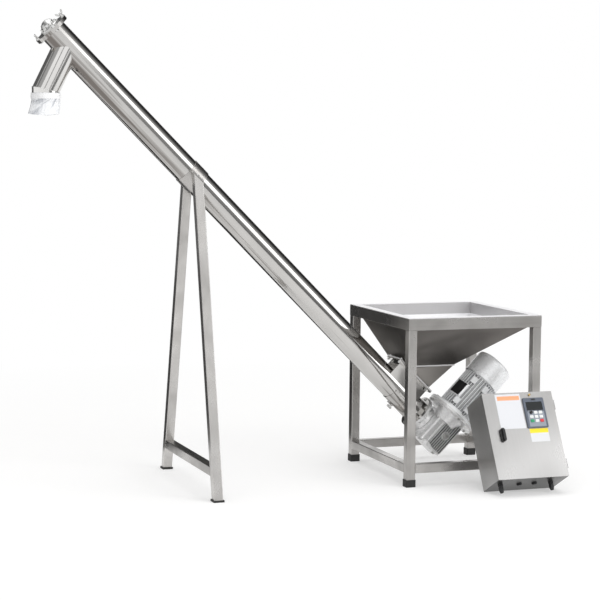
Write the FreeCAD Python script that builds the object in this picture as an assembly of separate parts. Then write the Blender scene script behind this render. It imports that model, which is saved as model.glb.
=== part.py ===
import FreeCAD, Part
import math
import os

# Screw feeder: a hopper stand, a sloping screw conveyor on a support stand,
# a right-angle worm drive with its motor, and a control box that leans on the stand.
# Origin: centre of the bottom face of the hopper stand's front left foot.
# +X runs from the outlet towards the hopper, +Y to the rear, +Z up. Millimetres.

V = FreeCAD.Vector

# Fits
TOUCH_GAP = 0.3
RUN_FIT = 0.05
SEAT_FIT = 0.05
CUT_PAST = 0.5
BOLT_RADIUS = 4.0
BOLT_PLAY = 0.2

# Hopper stand
STAND_LENGTH = 640.0
STAND_WIDTH = 700.0
STAND_HEIGHT = 740.0
BAR_SIDE = 40.0
BAR_WALL = 2.0
BAR_CORNER = 3.0
TOP_RAIL_HEIGHT = 50.0
LOW_RAIL_BASE = 60.0
FOOT_BASE = 4.0
FOOT_HEIGHT = 32.0
FOOT_WALL = 3.0

# Hopper and chute
SHEET = 2.0
LIP_THICKNESS = 3.0
OUTLET_LEFT = 88.0
OUTLET_LENGTH = 226.0
OUTLET_WIDTH = 200.0
OUTLET_HEIGHT = 500.0
COLLAR_HEIGHT = 6.0
CHUTE_TOP = 497.0

# Conveyor tube, on a slope in the stand's middle plane
TUBE_SLOPE = 45.0
TUBE_FLOOR_X = 447.6
TUBE_FOOT_HEIGHT = 272.7
TUBE_RADIUS = 57.0
TUBE_WALL = 2.0
TUBE_LENGTH = 2381.0
FLANGE_RADIUS = 80.0
FOOT_FLANGE_RADIUS = 82.0
FOOT_FLANGE_THICKNESS = 10.0
FLANGE_BOLT_CIRCLE = 70.0
FLANGE_BOLT_COUNT = 6
HEAD_FLANGE_THICKNESS = 8.0
SEAL_RADIUS = 24.0

# Inlet box on the tube; lengths run up the tube from its foot
INLET_START = 58.0
INLET_LENGTH = 185.0
INLET_WIDTH = 104.0
INLET_HEIGHT = 98.0
INLET_FLANGE_START = 45.0
INLET_FLANGE_LENGTH = 218.0
INLET_FLANGE_WIDTH = 148.0
INLET_FLANGE_THICKNESS = 6.0
CHUTE_MOUTH_START = 62.0
CHUTE_MOUTH_LENGTH = 128.0
INLET_BOLT_SPREAD = 128.0
INLET_BOLT_STATIONS = (70.0, 160.0, 254.0)

# Outlet
SPOUT_STATION = 2288.0
SPOUT_LEAN = 26.0
SPOUT_RADIUS = 56.0
SPOUT_DROP = 207.0
STUB_RADIUS = 58.0
STUB_LENGTH = 52.0
STRAP_DROP = 14.0
STRAP_HEIGHT = 23.0
STRAP_THICKNESS = 3.0
SLEEVE_THICKNESS = 1.2
SLEEVE_LENGTH = 90.0
SLEEVE_MOUTH_RADIUS = 66.0
SLEEVE_SHIFT = 6.5
SLEEVE_STRIPS = 32

# Upper end
END_PLATE_THICKNESS = 8.0
END_BOSS_RADIUS = 30.0
END_BOSS_LENGTH = 26.0
END_BASE_RADIUS = 46.0
END_BASE_THICKNESS = 9.0
END_DOME_LENGTH = 12.0
END_BEARING_RADIUS = 24.0
END_BEARING_WIDTH = 15.0
WING_CIRCLE = 70.0
WING_STUD_RADIUS = 4.0

# Screw
SHAFT_RADIUS = 20.0
LOW_JOURNAL_RADIUS = 14.0
HIGH_JOURNAL_RADIUS = 12.0
FLIGHT_RADIUS = 52.0
FLIGHT_THICKNESS = 4.0
FLIGHT_PITCH = 110.0
FLIGHT_START = 20.0
FLIGHT_TURNS = 21

# Clean-out cover on the underside of the tube, angles from the underside to the front
COVER_START = 40.0
COVER_LENGTH = 128.0
COVER_HINGE_ANGLE = 80.0
COVER_FREE_ANGLE = -40.0
COVER_THICKNESS = 2.0
COVER_LAP = 8.0
COVER_PIN_RADIUS = 1.6
COVER_KNUCKLE_RADIUS = 3.6
COVER_KNUCKLES = 8
COVER_LATCH_ANGLE = -27.0
COVER_SEAT_RADIUS = 7.0
COVER_SEAT_HEIGHT = 3.7
TONGUE_THICKNESS = 3.0
TONGUE_WIDTH = 12.0
TONGUE_REACH = 27.0
KEEPER_PLAY = 0.9
KEEPER_THICKNESS = 3.0
KEEPER_WIDTH = 18.0
KEEPER_SPAN = 24.0
KEEPER_EDGE = 6.0
LATCH_PIN_RADIUS = 2.0
LATCH_KNOB_RADIUS = 5.5
LATCH_WING_REACH = 13.0

# Support stand
SUPPORT_X = -896.0
SUPPORT_SPREAD = 827.0
SUPPORT_BAR_BASE = 100.0
PAD_HEIGHT = 8.0
CLAMP_LENGTH = 76.0
CLAMP_WALL = 3.0
EAR_WIDTH = 34.0
EAR_THICKNESS = 4.0
CLAMP_BOLT_STEPS = (-18.0, 5.0)

# Worm drive; stations run down the tube's axis line from the tube's foot
WORM_STATION = 98.0
WHEEL_TEETH = 40
WORM_STARTS = 4
WHEEL_PITCH_RADIUS = 55.0
WORM_PITCH_RADIUS = 20.0
WHEEL_WIDTH = 30.0
TOOTH_ADDENDUM = 2.6
TOOTH_DEDENDUM = 3.6
TOOTH_PLAY = 0.9
PRESSURE_ANGLE = 20.0
WORM_LENGTH = 64.0
CASE_FRONT = 45.0
CASE_REAR = 180.0
WHEEL_CLEARANCE = 5.4
CASE_WALL = 13.0
TUNNEL_DEPTH = 29.0
CASE_BELOW = 88.0
NECK_RADIUS = 50.0
REDUCER_FLANGE_THICKNESS = 14.0
WHEEL_BEARING_RADIUS = 36.0
WHEEL_BEARING_WIDTH = 14.0
HUB_RADIUS = 22.0
COVER_PLATE_THICKNESS = 8.0
RIB_COUNT = 8
RIB_HEIGHT = 9.0
RIB_THICKNESS = 4.0
PLUG_RADIUS = 20.5

# Motor, along its own axis from the worm's centre
MOTOR_FLANGE_RADIUS = 120.0
MOTOR_FLANGE_START = 84.0
MOTOR_FLANGE_THICKNESS = 11.0
MOTOR_BODY_START = 118.0
MOTOR_BODY_LENGTH = 178.0
MOTOR_CORE_RADIUS = 72.0
MOTOR_FIN_RADIUS = 82.5
MOTOR_FIN_COUNT = 36
MOTOR_FIN_THICKNESS = 2.6
STATOR_RADIUS = 68.0
ROTOR_RADIUS = 42.0
AIR_GAP = 1.0
CORE_START = 142.0
CORE_LENGTH = 124.0
MOTOR_SHAFT_RADIUS = 12.0
MOTOR_BEARING_RADIUS = 26.0
MOTOR_BEARING_WIDTH = 14.0
WORM_BEARING_RADIUS = 30.0
COWL_START = 300.0
COWL_LENGTH = 110.0
COWL_RADIUS = 89.0
COWL_WALL = 1.5
COWL_BEVEL = 14.0
FAN_RADIUS = 72.0
FAN_BLADES = 7
TERMINAL_START = 186.0
TERMINAL_LENGTH = 84.0
TERMINAL_WIDTH = 72.0
TERMINAL_HEIGHT = 30.0
TERMINAL_TURN = 38.0

# Control box, leaning back against the stand's front right leg
BOX_ON_LEG = 17.0
BOX_WIDTH = 335.0
BOX_HEIGHT = 390.0
BOX_DEPTH = 165.0
BOX_LEAN = 28.5
BOX_SHEET = 2.0
DOOR_DEPTH = 14.0
DOOR_GAP = 1.0
BOX_LIP = 12.0
GASKET_WIDTH = 10.0
DOOR_PIN_OFFSET = 6.0
DOOR_PIN_RADIUS = 2.5
DOOR_KNUCKLE_RADIUS = 5.0
DOOR_KNUCKLE_LENGTH = 14.0
LATCH_X = 60.0
LATCH_DROP = 192.0
LATCH_SPINDLE_RADIUS = 7.0
KEYPAD_LEFT = 186.0
KEYPAD_WIDTH = 100.0
KEYPAD_DROP = 29.0
KEYPAD_HEIGHT = 138.0
KEYPAD_PROUD = 6.0
DISPLAY_WIDTH = 78.0
DISPLAY_HEIGHT = 39.0
DISPLAY_DROP = 19.0
KEY_WIDTH = 17.0
KEY_HEIGHT = 13.0
KEY_PITCH_X = 22.8
KEY_PITCH_Z = 18.8
KEY_TOP_DROP = 68.5
KEY_TRAVEL = 1.0
KNOB_RADIUS = 7.0
GLAND_POSITIONS = (40.0, 280.0)
BLIND_PLUG_POSITIONS = (129.0, 201.0)
GLAND_SETBACK = 90.0
PLATE_EDGE_X = 22.0
PLATE_EDGE_Z = 26.0
PLATE_SPACER = 10.0
INVERTER_WIDTH = 120.0
INVERTER_HEIGHT = 180.0
INVERTER_DEPTH = 102.0
INVERTER_MARGIN = 39.0
INVERTER_BASE = 170.0
INVERTER_SLOTS = 9
INVERTER_SLOT_PITCH = 14.0
INVERTER_HOOD = 32.0
GLAND_LENGTH = 36.0
GLAND_BORE_RADIUS = 5.0

# Places that follow from the sizes above
LEG_PITCH_X = STAND_LENGTH - BAR_SIDE
LEG_PITCH_Y = STAND_WIDTH - BAR_SIDE
HALF_BAR = BAR_SIDE / 2
MIDDLE_Y = LEG_PITCH_Y / 2
RAIL_TOP = STAND_HEIGHT - LIP_THICKNESS
RAIL_BASE = RAIL_TOP - TOP_RAIL_HEIGHT
TUBE_BORE = TUBE_RADIUS - TUBE_WALL
FLANGE_TOP = INLET_HEIGHT + INLET_FLANGE_THICKNESS
BOX_LEFT = LEG_PITCH_X - HALF_BAR + BOX_ON_LEG - BOX_WIDTH
BOX_SHELL_DEPTH = BOX_DEPTH - DOOR_DEPTH - DOOR_GAP
BOLT_HOLE_RADIUS = BOLT_RADIUS + BOLT_PLAY
COVER_PIN_REACH = TUBE_RADIUS + COVER_THICKNESS + COVER_KNUCKLE_RADIUS + TOUCH_GAP
COVER_SEAT_TOP = TUBE_RADIUS + TOUCH_GAP + COVER_THICKNESS + COVER_SEAT_HEIGHT
TONGUE_BASE = COVER_SEAT_TOP + TOUCH_GAP
KNOB_BASE = TONGUE_BASE + TONGUE_THICKNESS - 0.3
PLATE_OUTER = TUBE_LENGTH + END_PLATE_THICKNESS
MOTOR_FLANGE_MID = MOTOR_FLANGE_START + MOTOR_FLANGE_THICKNESS
MOTOR_FLANGE_END = MOTOR_FLANGE_MID + MOTOR_FLANGE_THICKNESS
MOTOR_BODY_END = MOTOR_BODY_START + MOTOR_BODY_LENGTH
GEAR_CENTRES = WHEEL_PITCH_RADIUS + WORM_PITCH_RADIUS
CASE_CAVITY_RADIUS = WHEEL_PITCH_RADIUS + TOOTH_ADDENDUM + WHEEL_CLEARANCE
CASE_RADIUS = CASE_CAVITY_RADIUS + CASE_WALL
CASE_SIDE = GEAR_CENTRES + TUNNEL_DEPTH
TOOTH_PITCH = 2 * math.pi * WHEEL_PITCH_RADIUS / WHEEL_TEETH
WORM_LEAD = TOOTH_PITCH * WORM_STARTS
KEYPAD_MIDDLE_X = KEYPAD_LEFT + KEYPAD_WIDTH / 2
KEYPAD_TOP_Z = BOX_HEIGHT - KEYPAD_DROP

# Frames. In the tube's frame Z runs up the tube, X points up off its back and Y to the rear.
# In the motor's frame Z runs along the motor's axis, X down the tube and Y to the rear.
# In the box's frame Z runs up its back, X to the right and Y from its front to its back.
TUBE_FRAME = FreeCAD.Placement(
    V(TUBE_FLOOR_X - TUBE_FOOT_HEIGHT * math.tan(math.radians(TUBE_SLOPE)), MIDDLE_Y, TUBE_FOOT_HEIGHT),
    FreeCAD.Rotation(V(0, 1, 0), -TUBE_SLOPE))
MOTOR_FRAME = FreeCAD.Placement(
    TUBE_FRAME.multVec(V(0, -GEAR_CENTRES, -WORM_STATION)),
    FreeCAD.Rotation(V(0, 1, 0), 90 - TUBE_SLOPE))
BOX_FRAME = FreeCAD.Placement(
    V(BOX_LEFT, -HALF_BAR - TOUCH_GAP - BOX_HEIGHT * math.sin(math.radians(BOX_LEAN)), 0),
    FreeCAD.Rotation(V(1, 0, 0), -BOX_LEAN))


def block(x0, x1, y0, y1, z0, z1):
    return Part.makeBox(x1 - x0, y1 - y0, z1 - z0, V(x0, y0, z0))


def rod(radius, z0, z1, x=0.0, y=0.0):
    return Part.makeCylinder(radius, z1 - z0, V(x, y, z0))


def ring(outer, inner, z0, z1):
    return rod(outer, z0, z1).cut(rod(inner, z0, z1))


def spin(profile):
    """Turn a closed outline of (radius, height) points about Z."""
    points = [V(r, 0, z) for r, z in profile]
    face = Part.Face(Part.makePolygon(points + points[:1]))
    return face.revolve(V(0, 0, 0), V(0, 0, 1), 360)


def prism(points, height):
    """Extrude a closed outline that lies in one plane by the vector height."""
    return Part.Face(Part.makePolygon(points + points[:1])).extrude(height)


def turned(shape, axis, angle, centre=V(0, 0, 0)):
    copy = shape.copy()
    copy.rotate(centre, axis, angle)
    return copy


def moved(shape, x, y, z):
    copy = shape.copy()
    copy.translate(V(x, y, z))
    return copy


def join(shapes):
    return shapes[0].multiFuse(shapes[1:]).removeSplitter() if len(shapes) > 1 else shapes[0]


def fillet_along(shape, axis, radius):
    """Round the straight edges that run along one axis."""
    edges = [e for e in shape.Edges
             if e.Curve.TypeId == "Part::GeomLine" and abs(e.Curve.Direction.dot(axis)) > 0.999]
    return shape.makeFillet(radius, edges)


def hollow_bar(width, depth, length):
    """Square or oblong tube along Z, centred on its axis, with rounded outer corners."""
    outer = block(-width / 2, width / 2, -depth / 2, depth / 2, 0, length)
    outer = fillet_along(outer, V(0, 0, 1), BAR_CORNER)
    hole_w = width / 2 - BAR_WALL
    hole_d = depth / 2 - BAR_WALL
    return outer.cut(block(-hole_w, hole_w, -hole_d, hole_d, 0, length))


def hexagon(across, z0, z1, x=0.0, y=0.0):
    corner = across / math.sqrt(3)
    points = []
    for k in range(6):
        angle = math.radians(60 * k)
        points.append(V(x + corner * math.cos(angle), y + corner * math.sin(angle), z0))
    return prism(points, V(0, 0, z1 - z0))


def closed_solid(faces):
    """Sew faces that close up into one solid."""
    shell = Part.makeShell(faces)
    shell.sewShape()
    solid = Part.Solid(shell)
    if solid.Volume < 0:
        solid.reverse()
    return solid


def flat_sided(low, high):
    """Solid between two outlines with as many points each; a side that isn't flat is folded inwards."""
    faces = [Part.Face(Part.makePolygon(points + points[:1])) for points in (low, high)]
    middle = sum(low + high, V(0, 0, 0)) * (0.5 / len(low))
    for k in range(len(low)):
        side = [low[k], low[(k + 1) % len(low)], high[(k + 1) % len(low)], high[k]]
        a, b, c, d = side
        if abs((b - a).cross(d - a).dot(c - a)) < 0.001:
            faces.append(Part.Face(Part.makePolygon(side + side[:1])))
            continue
        if ((a + c) * 0.5 - middle).Length > ((b + d) * 0.5 - middle).Length:
            a, b, c, d = b, c, d, a
        faces.append(Part.Face(Part.makePolygon([a, b, c, a])))
        faces.append(Part.Face(Part.makePolygon([a, c, d, a])))
    return closed_solid(faces)


def twisted_prism(low, high):
    """Solid between two outlines with as many points each, its sides ruled from point to point."""
    faces = [Part.Face(Part.makePolygon(points + points[:1])) for points in (low, high)]
    for k in range(len(low)):
        edges = [Part.makeLine(points[k], points[(k + 1) % len(low)]) for points in (low, high)]
        faces.append(Part.makeRuledSurface(*edges))
    return closed_solid(faces)


def helical_ridge(root, tip, root_width, tip_width, lead, turns):
    """A ridge wound about Z from z = 0: ruled strips between four helices, with flat ends."""
    corners = ((root, -root_width / 2), (tip, -tip_width / 2), (tip, tip_width / 2), (root, root_width / 2))
    faces = []
    done = 0.0
    while done < turns:
        part = min(1.0, turns - done)
        edges = []
        for radius, rise in corners:
            helix = Part.makeHelix(lead, lead * part, radius)
            helix.rotate(V(0, 0, 0), V(0, 0, 1), 360 * done)
            helix.translate(V(0, 0, rise + lead * done))
            edges.append(helix.Edges[0])
        for k in range(4):
            faces.append(Part.makeRuledSurface(edges[k], edges[(k + 1) % 4]))
        done += part
    for stop in (0.0, turns):
        angle = 2 * math.pi * stop
        points = [V(r * math.cos(angle), r * math.sin(angle), z + lead * stop) for r, z in corners]
        faces.append(Part.Face(Part.makePolygon(points + points[:1])))
    return closed_solid(faces)


def ball_bearing(outer, inner, width):
    """Sealed bearing: both races with a recessed shield between them."""
    band = (outer - inner) * 0.28
    dish = width * 0.12
    return spin([(inner, 0), (inner + band, 0), (inner + band, dish), (outer - band, dish), (outer - band, 0),
                 (outer, 0), (outer, width), (outer - band, width), (outer - band, width - dish),
                 (inner + band, width - dish), (inner + band, width), (inner, width)])


def in_tube(shape):
    copy = shape.copy()
    copy.Placement = TUBE_FRAME.multiply(copy.Placement)
    return copy


def in_motor(shape):
    copy = shape.copy()
    copy.Placement = MOTOR_FRAME.multiply(copy.Placement)
    return copy


def in_box(shape):
    copy = shape.copy()
    copy.Placement = BOX_FRAME.multiply(copy.Placement)
    return copy


NODES = {}


def keep(name, shapes):
    """Store one node: a solid, or a group of separate solids."""
    NODES[name] = shapes if isinstance(shapes, list) else [shapes]


# Hopper stand

def stand_legs():
    leg = hollow_bar(BAR_SIDE, BAR_SIDE, RAIL_BASE - FOOT_BASE)
    return [moved(leg, x, y, FOOT_BASE) for x in (0, LEG_PITCH_X) for y in (0, LEG_PITCH_Y)]


def mitred_rail(length):
    """Top rail along X with its ends cut at 45 degrees, its outer side towards -Y."""
    bar = turned(hollow_bar(TOP_RAIL_HEIGHT, BAR_SIDE, length), V(0, 1, 0), 90)
    outline = [V(0, -HALF_BAR, 0), V(length, -HALF_BAR, 0),
               V(length - BAR_SIDE, HALF_BAR, 0), V(BAR_SIDE, HALF_BAR, 0)]
    wedge = moved(prism(outline, V(0, 0, TOP_RAIL_HEIGHT)), 0, 0, -TOP_RAIL_HEIGHT / 2)
    return bar.common(wedge)


def top_rails():
    height = RAIL_BASE + TOP_RAIL_HEIGHT / 2
    long_rail = mitred_rail(STAND_LENGTH)
    side_rail = mitred_rail(STAND_WIDTH)
    front = moved(long_rail, -HALF_BAR, 0, height)
    centre = V(LEG_PITCH_X / 2, MIDDLE_Y, 0)
    left = moved(turned(side_rail, V(0, 0, 1), -90), 0, LEG_PITCH_Y + HALF_BAR, height)
    return [front, turned(front, V(0, 0, 1), 180, centre), left, turned(left, V(0, 0, 1), 180, centre)]


def low_rails():
    height = LOW_RAIL_BASE + HALF_BAR
    along = turned(hollow_bar(BAR_SIDE, BAR_SIDE, LEG_PITCH_X - BAR_SIDE), V(0, 1, 0), 90)
    across = turned(hollow_bar(BAR_SIDE, BAR_SIDE, LEG_PITCH_Y - BAR_SIDE), V(1, 0, 0), -90)
    rails = [moved(along, HALF_BAR, y, height) for y in (0, LEG_PITCH_Y)]
    return rails + [moved(across, x, HALF_BAR, height) for x in (0, LEG_PITCH_X)]


def leg_cap():
    half = HALF_BAR + FOOT_WALL
    cap = fillet_along(block(-half, half, -half, half, 0, FOOT_HEIGHT), V(0, 0, 1), BAR_CORNER + FOOT_WALL)
    pocket = HALF_BAR + TOUCH_GAP / 2
    return cap.cut(block(-pocket, pocket, -pocket, pocket, FOOT_BASE, FOOT_HEIGHT))


def hopper_section(left, right, front, rear, z):
    return [V(left, front, z), V(right, front, z), V(right, rear, z), V(left, rear, z)]


def hopper():
    """Pyramid of sheet with a straight skirt inside the rails, a lip on them and a collar below."""
    def body(inset):
        skirt = HALF_BAR + TOUCH_GAP + inset
        top = [skirt, LEG_PITCH_X - skirt, skirt, LEG_PITCH_Y - skirt]
        low = [OUTLET_LEFT + inset, OUTLET_LEFT + OUTLET_LENGTH - inset,
               MIDDLE_Y - OUTLET_WIDTH / 2 + inset, MIDDLE_Y + OUTLET_WIDTH / 2 - inset]
        cone = flat_sided(hopper_section(*low, OUTLET_HEIGHT), hopper_section(*top, RAIL_BASE))
        skirt_box = block(*top, RAIL_BASE, STAND_HEIGHT)
        collar = block(*low, OUTLET_HEIGHT - COLLAR_HEIGHT, OUTLET_HEIGHT)
        return join([cone, skirt_box, collar])
    lip = block(-HALF_BAR, LEG_PITCH_X + HALF_BAR, -HALF_BAR, LEG_PITCH_Y + HALF_BAR, RAIL_TOP, STAND_HEIGHT)
    lip = fillet_along(lip, V(0, 0, 1), BAR_CORNER)
    shell = join([body(0), lip]).cut(body(SHEET))
    room = in_tube(block(INLET_HEIGHT - 14, FLANGE_TOP + TOUCH_GAP,
                         -INLET_FLANGE_WIDTH / 2 - TOUCH_GAP, INLET_FLANGE_WIDTH / 2 + TOUCH_GAP,
                         INLET_FLANGE_START, INLET_FLANGE_START + INLET_FLANGE_LENGTH + TOUCH_GAP))
    pieces = shell.cut(room).Solids
    return max(pieces, key=lambda solid: solid.Volume)


def chute():
    """Wedge duct: level mouth under the hopper, sloping mouth on its flange at the inlet box."""
    def duct(inset, slack):
        left = OUTLET_LEFT + SHEET + TOUCH_GAP + inset
        right = OUTLET_LEFT + OUTLET_LENGTH - SHEET - TOUCH_GAP - inset
        half = OUTLET_WIDTH / 2 - SHEET - TOUCH_GAP - inset
        top = hopper_section(left, right, MIDDLE_Y - half, MIDDLE_Y + half, CHUTE_TOP + slack)
        z0 = CHUTE_MOUTH_START - SHEET + inset
        z1 = CHUTE_MOUTH_START + CHUTE_MOUTH_LENGTH + SHEET - inset
        y = INLET_WIDTH / 2 - inset
        x = FLANGE_TOP - slack
        corners = [V(x, -y, z1), V(x, -y, z0), V(x, y, z0), V(x, y, z1)]
        return flat_sided([TUBE_FRAME.multVec(p) for p in corners], top)
    plate = block(INLET_HEIGHT, FLANGE_TOP, -INLET_FLANGE_WIDTH / 2, INLET_FLANGE_WIDTH / 2,
                  INLET_FLANGE_START, INLET_FLANGE_START + INLET_FLANGE_LENGTH)
    hole = block(INLET_HEIGHT, FLANGE_TOP, -INLET_WIDTH / 2 + SHEET, INLET_WIDTH / 2 - SHEET,
                 CHUTE_MOUTH_START, CHUTE_MOUTH_START + CHUTE_MOUTH_LENGTH)
    plate = plate.cut(hole)
    hole = turned(rod(BOLT_HOLE_RADIUS, 0, INLET_FLANGE_THICKNESS), V(0, 1, 0), 90)
    for x, y, z in inlet_bolt_places():
        plate = plate.cut(moved(hole, x, y, z))
    inside = moved(duct(SHEET, SHEET + CUT_PAST), 0, 0, SHEET)
    return join([duct(0, 0).cut(inside), in_tube(plate)])


def inlet_bolt_places():
    return [(INLET_HEIGHT, side * INLET_BOLT_SPREAD / 2, z)
            for side in (-1, 1) for z in INLET_BOLT_STATIONS]


def inlet_bolts():
    """Hexagon bolts with nuts through both inlet flanges."""
    grip = 2 * INLET_FLANGE_THICKNESS
    bolt = join([rod(BOLT_RADIUS, -9, grip), hexagon(12, grip, grip + 5)])
    nut = hexagon(12, -6, 0).cut(rod(BOLT_RADIUS, -6, 0))
    bolts = []
    for x, y, z in inlet_bolt_places():
        for piece in (bolt, nut):
            upright = turned(piece, V(0, 1, 0), 90)
            bolts.append(in_tube(moved(upright, x - INLET_FLANGE_THICKNESS, y, z)))
    return bolts


# Conveyor tube and inlet box

def circle_places(reach, count, start=0.0):
    """Points (x, y) spread evenly round a circle."""
    angles = [math.radians(start + 360 * k / count) for k in range(count)]
    return [(reach * math.cos(angle), reach * math.sin(angle)) for angle in angles]


def flange_bolt_places():
    return circle_places(FLANGE_BOLT_CIRCLE, FLANGE_BOLT_COUNT)


def cover_point(radius, angle):
    """A point about the tube's axis; the angle runs from its underside to its front."""
    a = math.radians(angle)
    return -radius * math.cos(a), -radius * math.sin(a)


def curved_plate(inner, outer, angle0, angle1, z0, z1):
    """Part of a pipe wall between two angles."""
    a0 = min(angle0, angle1)
    wedge = Part.makeCylinder(outer, z1 - z0, V(0, 0, z0), V(0, 0, 1), abs(angle1 - angle0))
    wedge = turned(wedge, V(0, 0, 1), 180 + a0)
    return wedge.cut(rod(inner, z0, z1))


def spout_solid(radius, reach):
    """Slanted cylinder from the tube's axis line down to the stub, in the row's frame."""
    start = TUBE_FRAME.multVec(V(0, 0, SPOUT_STATION))
    lean = math.radians(SPOUT_LEAN)
    return Part.makeCylinder(radius, reach, start, V(-math.sin(lean), 0, -math.cos(lean)))


def spout_joint():
    start = TUBE_FRAME.multVec(V(0, 0, SPOUT_STATION))
    lean = math.radians(SPOUT_LEAN)
    return start + V(-math.sin(lean), 0, -math.cos(lean)) * SPOUT_DROP


def conveyor_tube():
    """The tube with its inlet, outlet and clean-out opening and its half of the cover's hinge."""
    body = ring(TUBE_RADIUS, TUBE_BORE, FOOT_FLANGE_THICKNESS, TUBE_LENGTH)
    half = INLET_WIDTH / 2 - SHEET
    inlet = block(0, TUBE_RADIUS + 1, -half, half, INLET_START + SHEET, INLET_START + INLET_LENGTH - SHEET)
    body = body.cut(inlet)
    gap = cleanout_span()
    opening = curved_plate(TUBE_BORE - 1, TUBE_RADIUS + 1, gap[0], gap[1],
                           COVER_START + COVER_LAP, COVER_START + COVER_LENGTH - COVER_LAP)
    body = body.cut(opening)
    body = in_tube(join([body] + tube_knuckles()))
    return body.cut(spout_solid(SPOUT_RADIUS - SHEET, SPOUT_DROP))


def tube_fittings():
    """Foot plate that closes the tube's lower end, head flange, and the keeper of the clean-out latch."""
    foot = ring(FOOT_FLANGE_RADIUS, SEAL_RADIUS, 0, FOOT_FLANGE_THICKNESS)
    for x, y in flange_bolt_places():
        foot = foot.cut(rod(BOLT_HOLE_RADIUS, 0, FOOT_FLANGE_THICKNESS, x, y))
    low = TUBE_LENGTH - HEAD_FLANGE_THICKNESS
    head = ring(FLANGE_RADIUS, TUBE_RADIUS + SEAT_FIT, low, TUBE_LENGTH)
    for x, y in wing_places():
        head = head.cut(rod(WING_STUD_RADIUS + BOLT_PLAY, low, TUBE_LENGTH, x, y))
    return [in_tube(foot), in_tube(head), in_tube(cover_keeper())]


def cleanout_span():
    """Angles of the opening that the clean-out cover closes."""
    lap = math.degrees(COVER_LAP / TUBE_RADIUS)
    return COVER_FREE_ANGLE + lap, COVER_HINGE_ANGLE - lap


def inlet_box():
    """Four-sided duct that sits on the tube, with its flange."""
    half = INLET_WIDTH / 2
    outer = block(0, INLET_HEIGHT, -half, half, INLET_START, INLET_START + INLET_LENGTH)
    flange = block(INLET_HEIGHT - INLET_FLANGE_THICKNESS, INLET_HEIGHT,
                   -INLET_FLANGE_WIDTH / 2, INLET_FLANGE_WIDTH / 2,
                   INLET_FLANGE_START, INLET_FLANGE_START + INLET_FLANGE_LENGTH)
    inner = block(0, INLET_HEIGHT, -half + SHEET, half - SHEET,
                  INLET_START + SHEET, INLET_START + INLET_LENGTH - SHEET)
    body = join([outer, flange]).cut(inner).cut(rod(TUBE_RADIUS, 0, TUBE_LENGTH / 2))
    hole = turned(rod(BOLT_HOLE_RADIUS, -INLET_FLANGE_THICKNESS, 0), V(0, 1, 0), 90)
    for x, y, z in inlet_bolt_places():
        body = body.cut(moved(hole, x, y, z))
    return in_tube(body)


def knuckle_spans(z0, length, count):
    step = length / count
    return [(z0 + k * step, z0 + (k + 1) * step - TOUCH_GAP) for k in range(count)]


def cover_pin_place():
    return cover_point(COVER_PIN_REACH, COVER_HINGE_ANGLE)


def tube_knuckles():
    """Every second knuckle of the clean-out hinge, each on a web from the tube."""
    x, y = cover_pin_place()
    pieces = []
    for z0, z1 in knuckle_spans(COVER_START, COVER_LENGTH, COVER_KNUCKLES)[0::2]:
        foot = COVER_HINGE_ANGLE + math.degrees(COVER_KNUCKLE_RADIUS / TUBE_RADIUS)
        web = curved_plate(TUBE_RADIUS - TUBE_WALL / 2, COVER_PIN_REACH, foot - 3, foot + 2, z0, z1)
        knuckle = join([web, rod(COVER_KNUCKLE_RADIUS, z0, z1, x, y)])
        pieces.append(knuckle.cut(rod(COVER_PIN_RADIUS + SEAT_FIT, z0, z1, x, y)))
    return pieces


def cover_keeper():
    """Hooked lug beside the cover's free edge, under which the turn latch swings."""
    middle = COVER_START + COVER_LENGTH / 2
    low, high = middle - KEEPER_WIDTH / 2, middle + KEEPER_WIDTH / 2
    foot = COVER_FREE_ANGLE - KEEPER_SPAN
    under = math.hypot(TONGUE_BASE + TONGUE_THICKNESS, TONGUE_REACH) + KEEPER_PLAY
    over = under + KEEPER_THICKNESS
    lug = curved_plate(TUBE_RADIUS + SEAT_FIT, over, foot - 4, foot, low, high)
    hook = curved_plate(under, over, foot - 2, COVER_FREE_ANGLE - KEEPER_EDGE, low, high)
    return join([lug, hook])


def cleanout_door():
    """Curved cover with its half of the hinge knuckles."""
    inner = TUBE_RADIUS + TOUCH_GAP
    outer = inner + COVER_THICKNESS
    edge = COVER_HINGE_ANGLE - math.degrees(COVER_KNUCKLE_RADIUS / TUBE_RADIUS)
    plate = curved_plate(inner, outer, COVER_FREE_ANGLE, edge, COVER_START, COVER_START + COVER_LENGTH)
    x, y = cover_pin_place()
    pieces = [plate]
    for z0, z1 in knuckle_spans(COVER_START, COVER_LENGTH, COVER_KNUCKLES)[1::2]:
        tab = curved_plate(inner, COVER_PIN_REACH, edge - 2, edge + 1, z0, z1)
        pieces.append(tab)
        pieces.append(rod(COVER_KNUCKLE_RADIUS, z0, z1, x, y))
    seat = latch_seat(inner + SEAT_FIT, COVER_SEAT_TOP)
    body = join(pieces + [seat])
    for z0, z1 in knuckle_spans(COVER_START, COVER_LENGTH, COVER_KNUCKLES)[1::2]:
        body = body.cut(rod(COVER_PIN_RADIUS + RUN_FIT, z0, z1, x, y))
    body = body.cut(rod(inner, COVER_START, COVER_START + COVER_LENGTH))
    return in_tube(body.cut(latch_pin(LATCH_PIN_RADIUS + RUN_FIT)))


def about_latch(shape):
    """Place a shape built along X at the cover's latch, its base on the tube's axis line."""
    out = turned(shape, V(0, 0, 1), 180 + COVER_LATCH_ANGLE)
    return moved(out, 0, 0, COVER_START + COVER_LENGTH / 2)


def latch_seat(x0, x1):
    return about_latch(turned(rod(COVER_SEAT_RADIUS, x0, x1), V(0, 1, 0), 90))


def latch_pin(radius):
    return about_latch(turned(rod(radius, TUBE_RADIUS + TOUCH_GAP, KNOB_BASE), V(0, 1, 0), 90))


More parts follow.
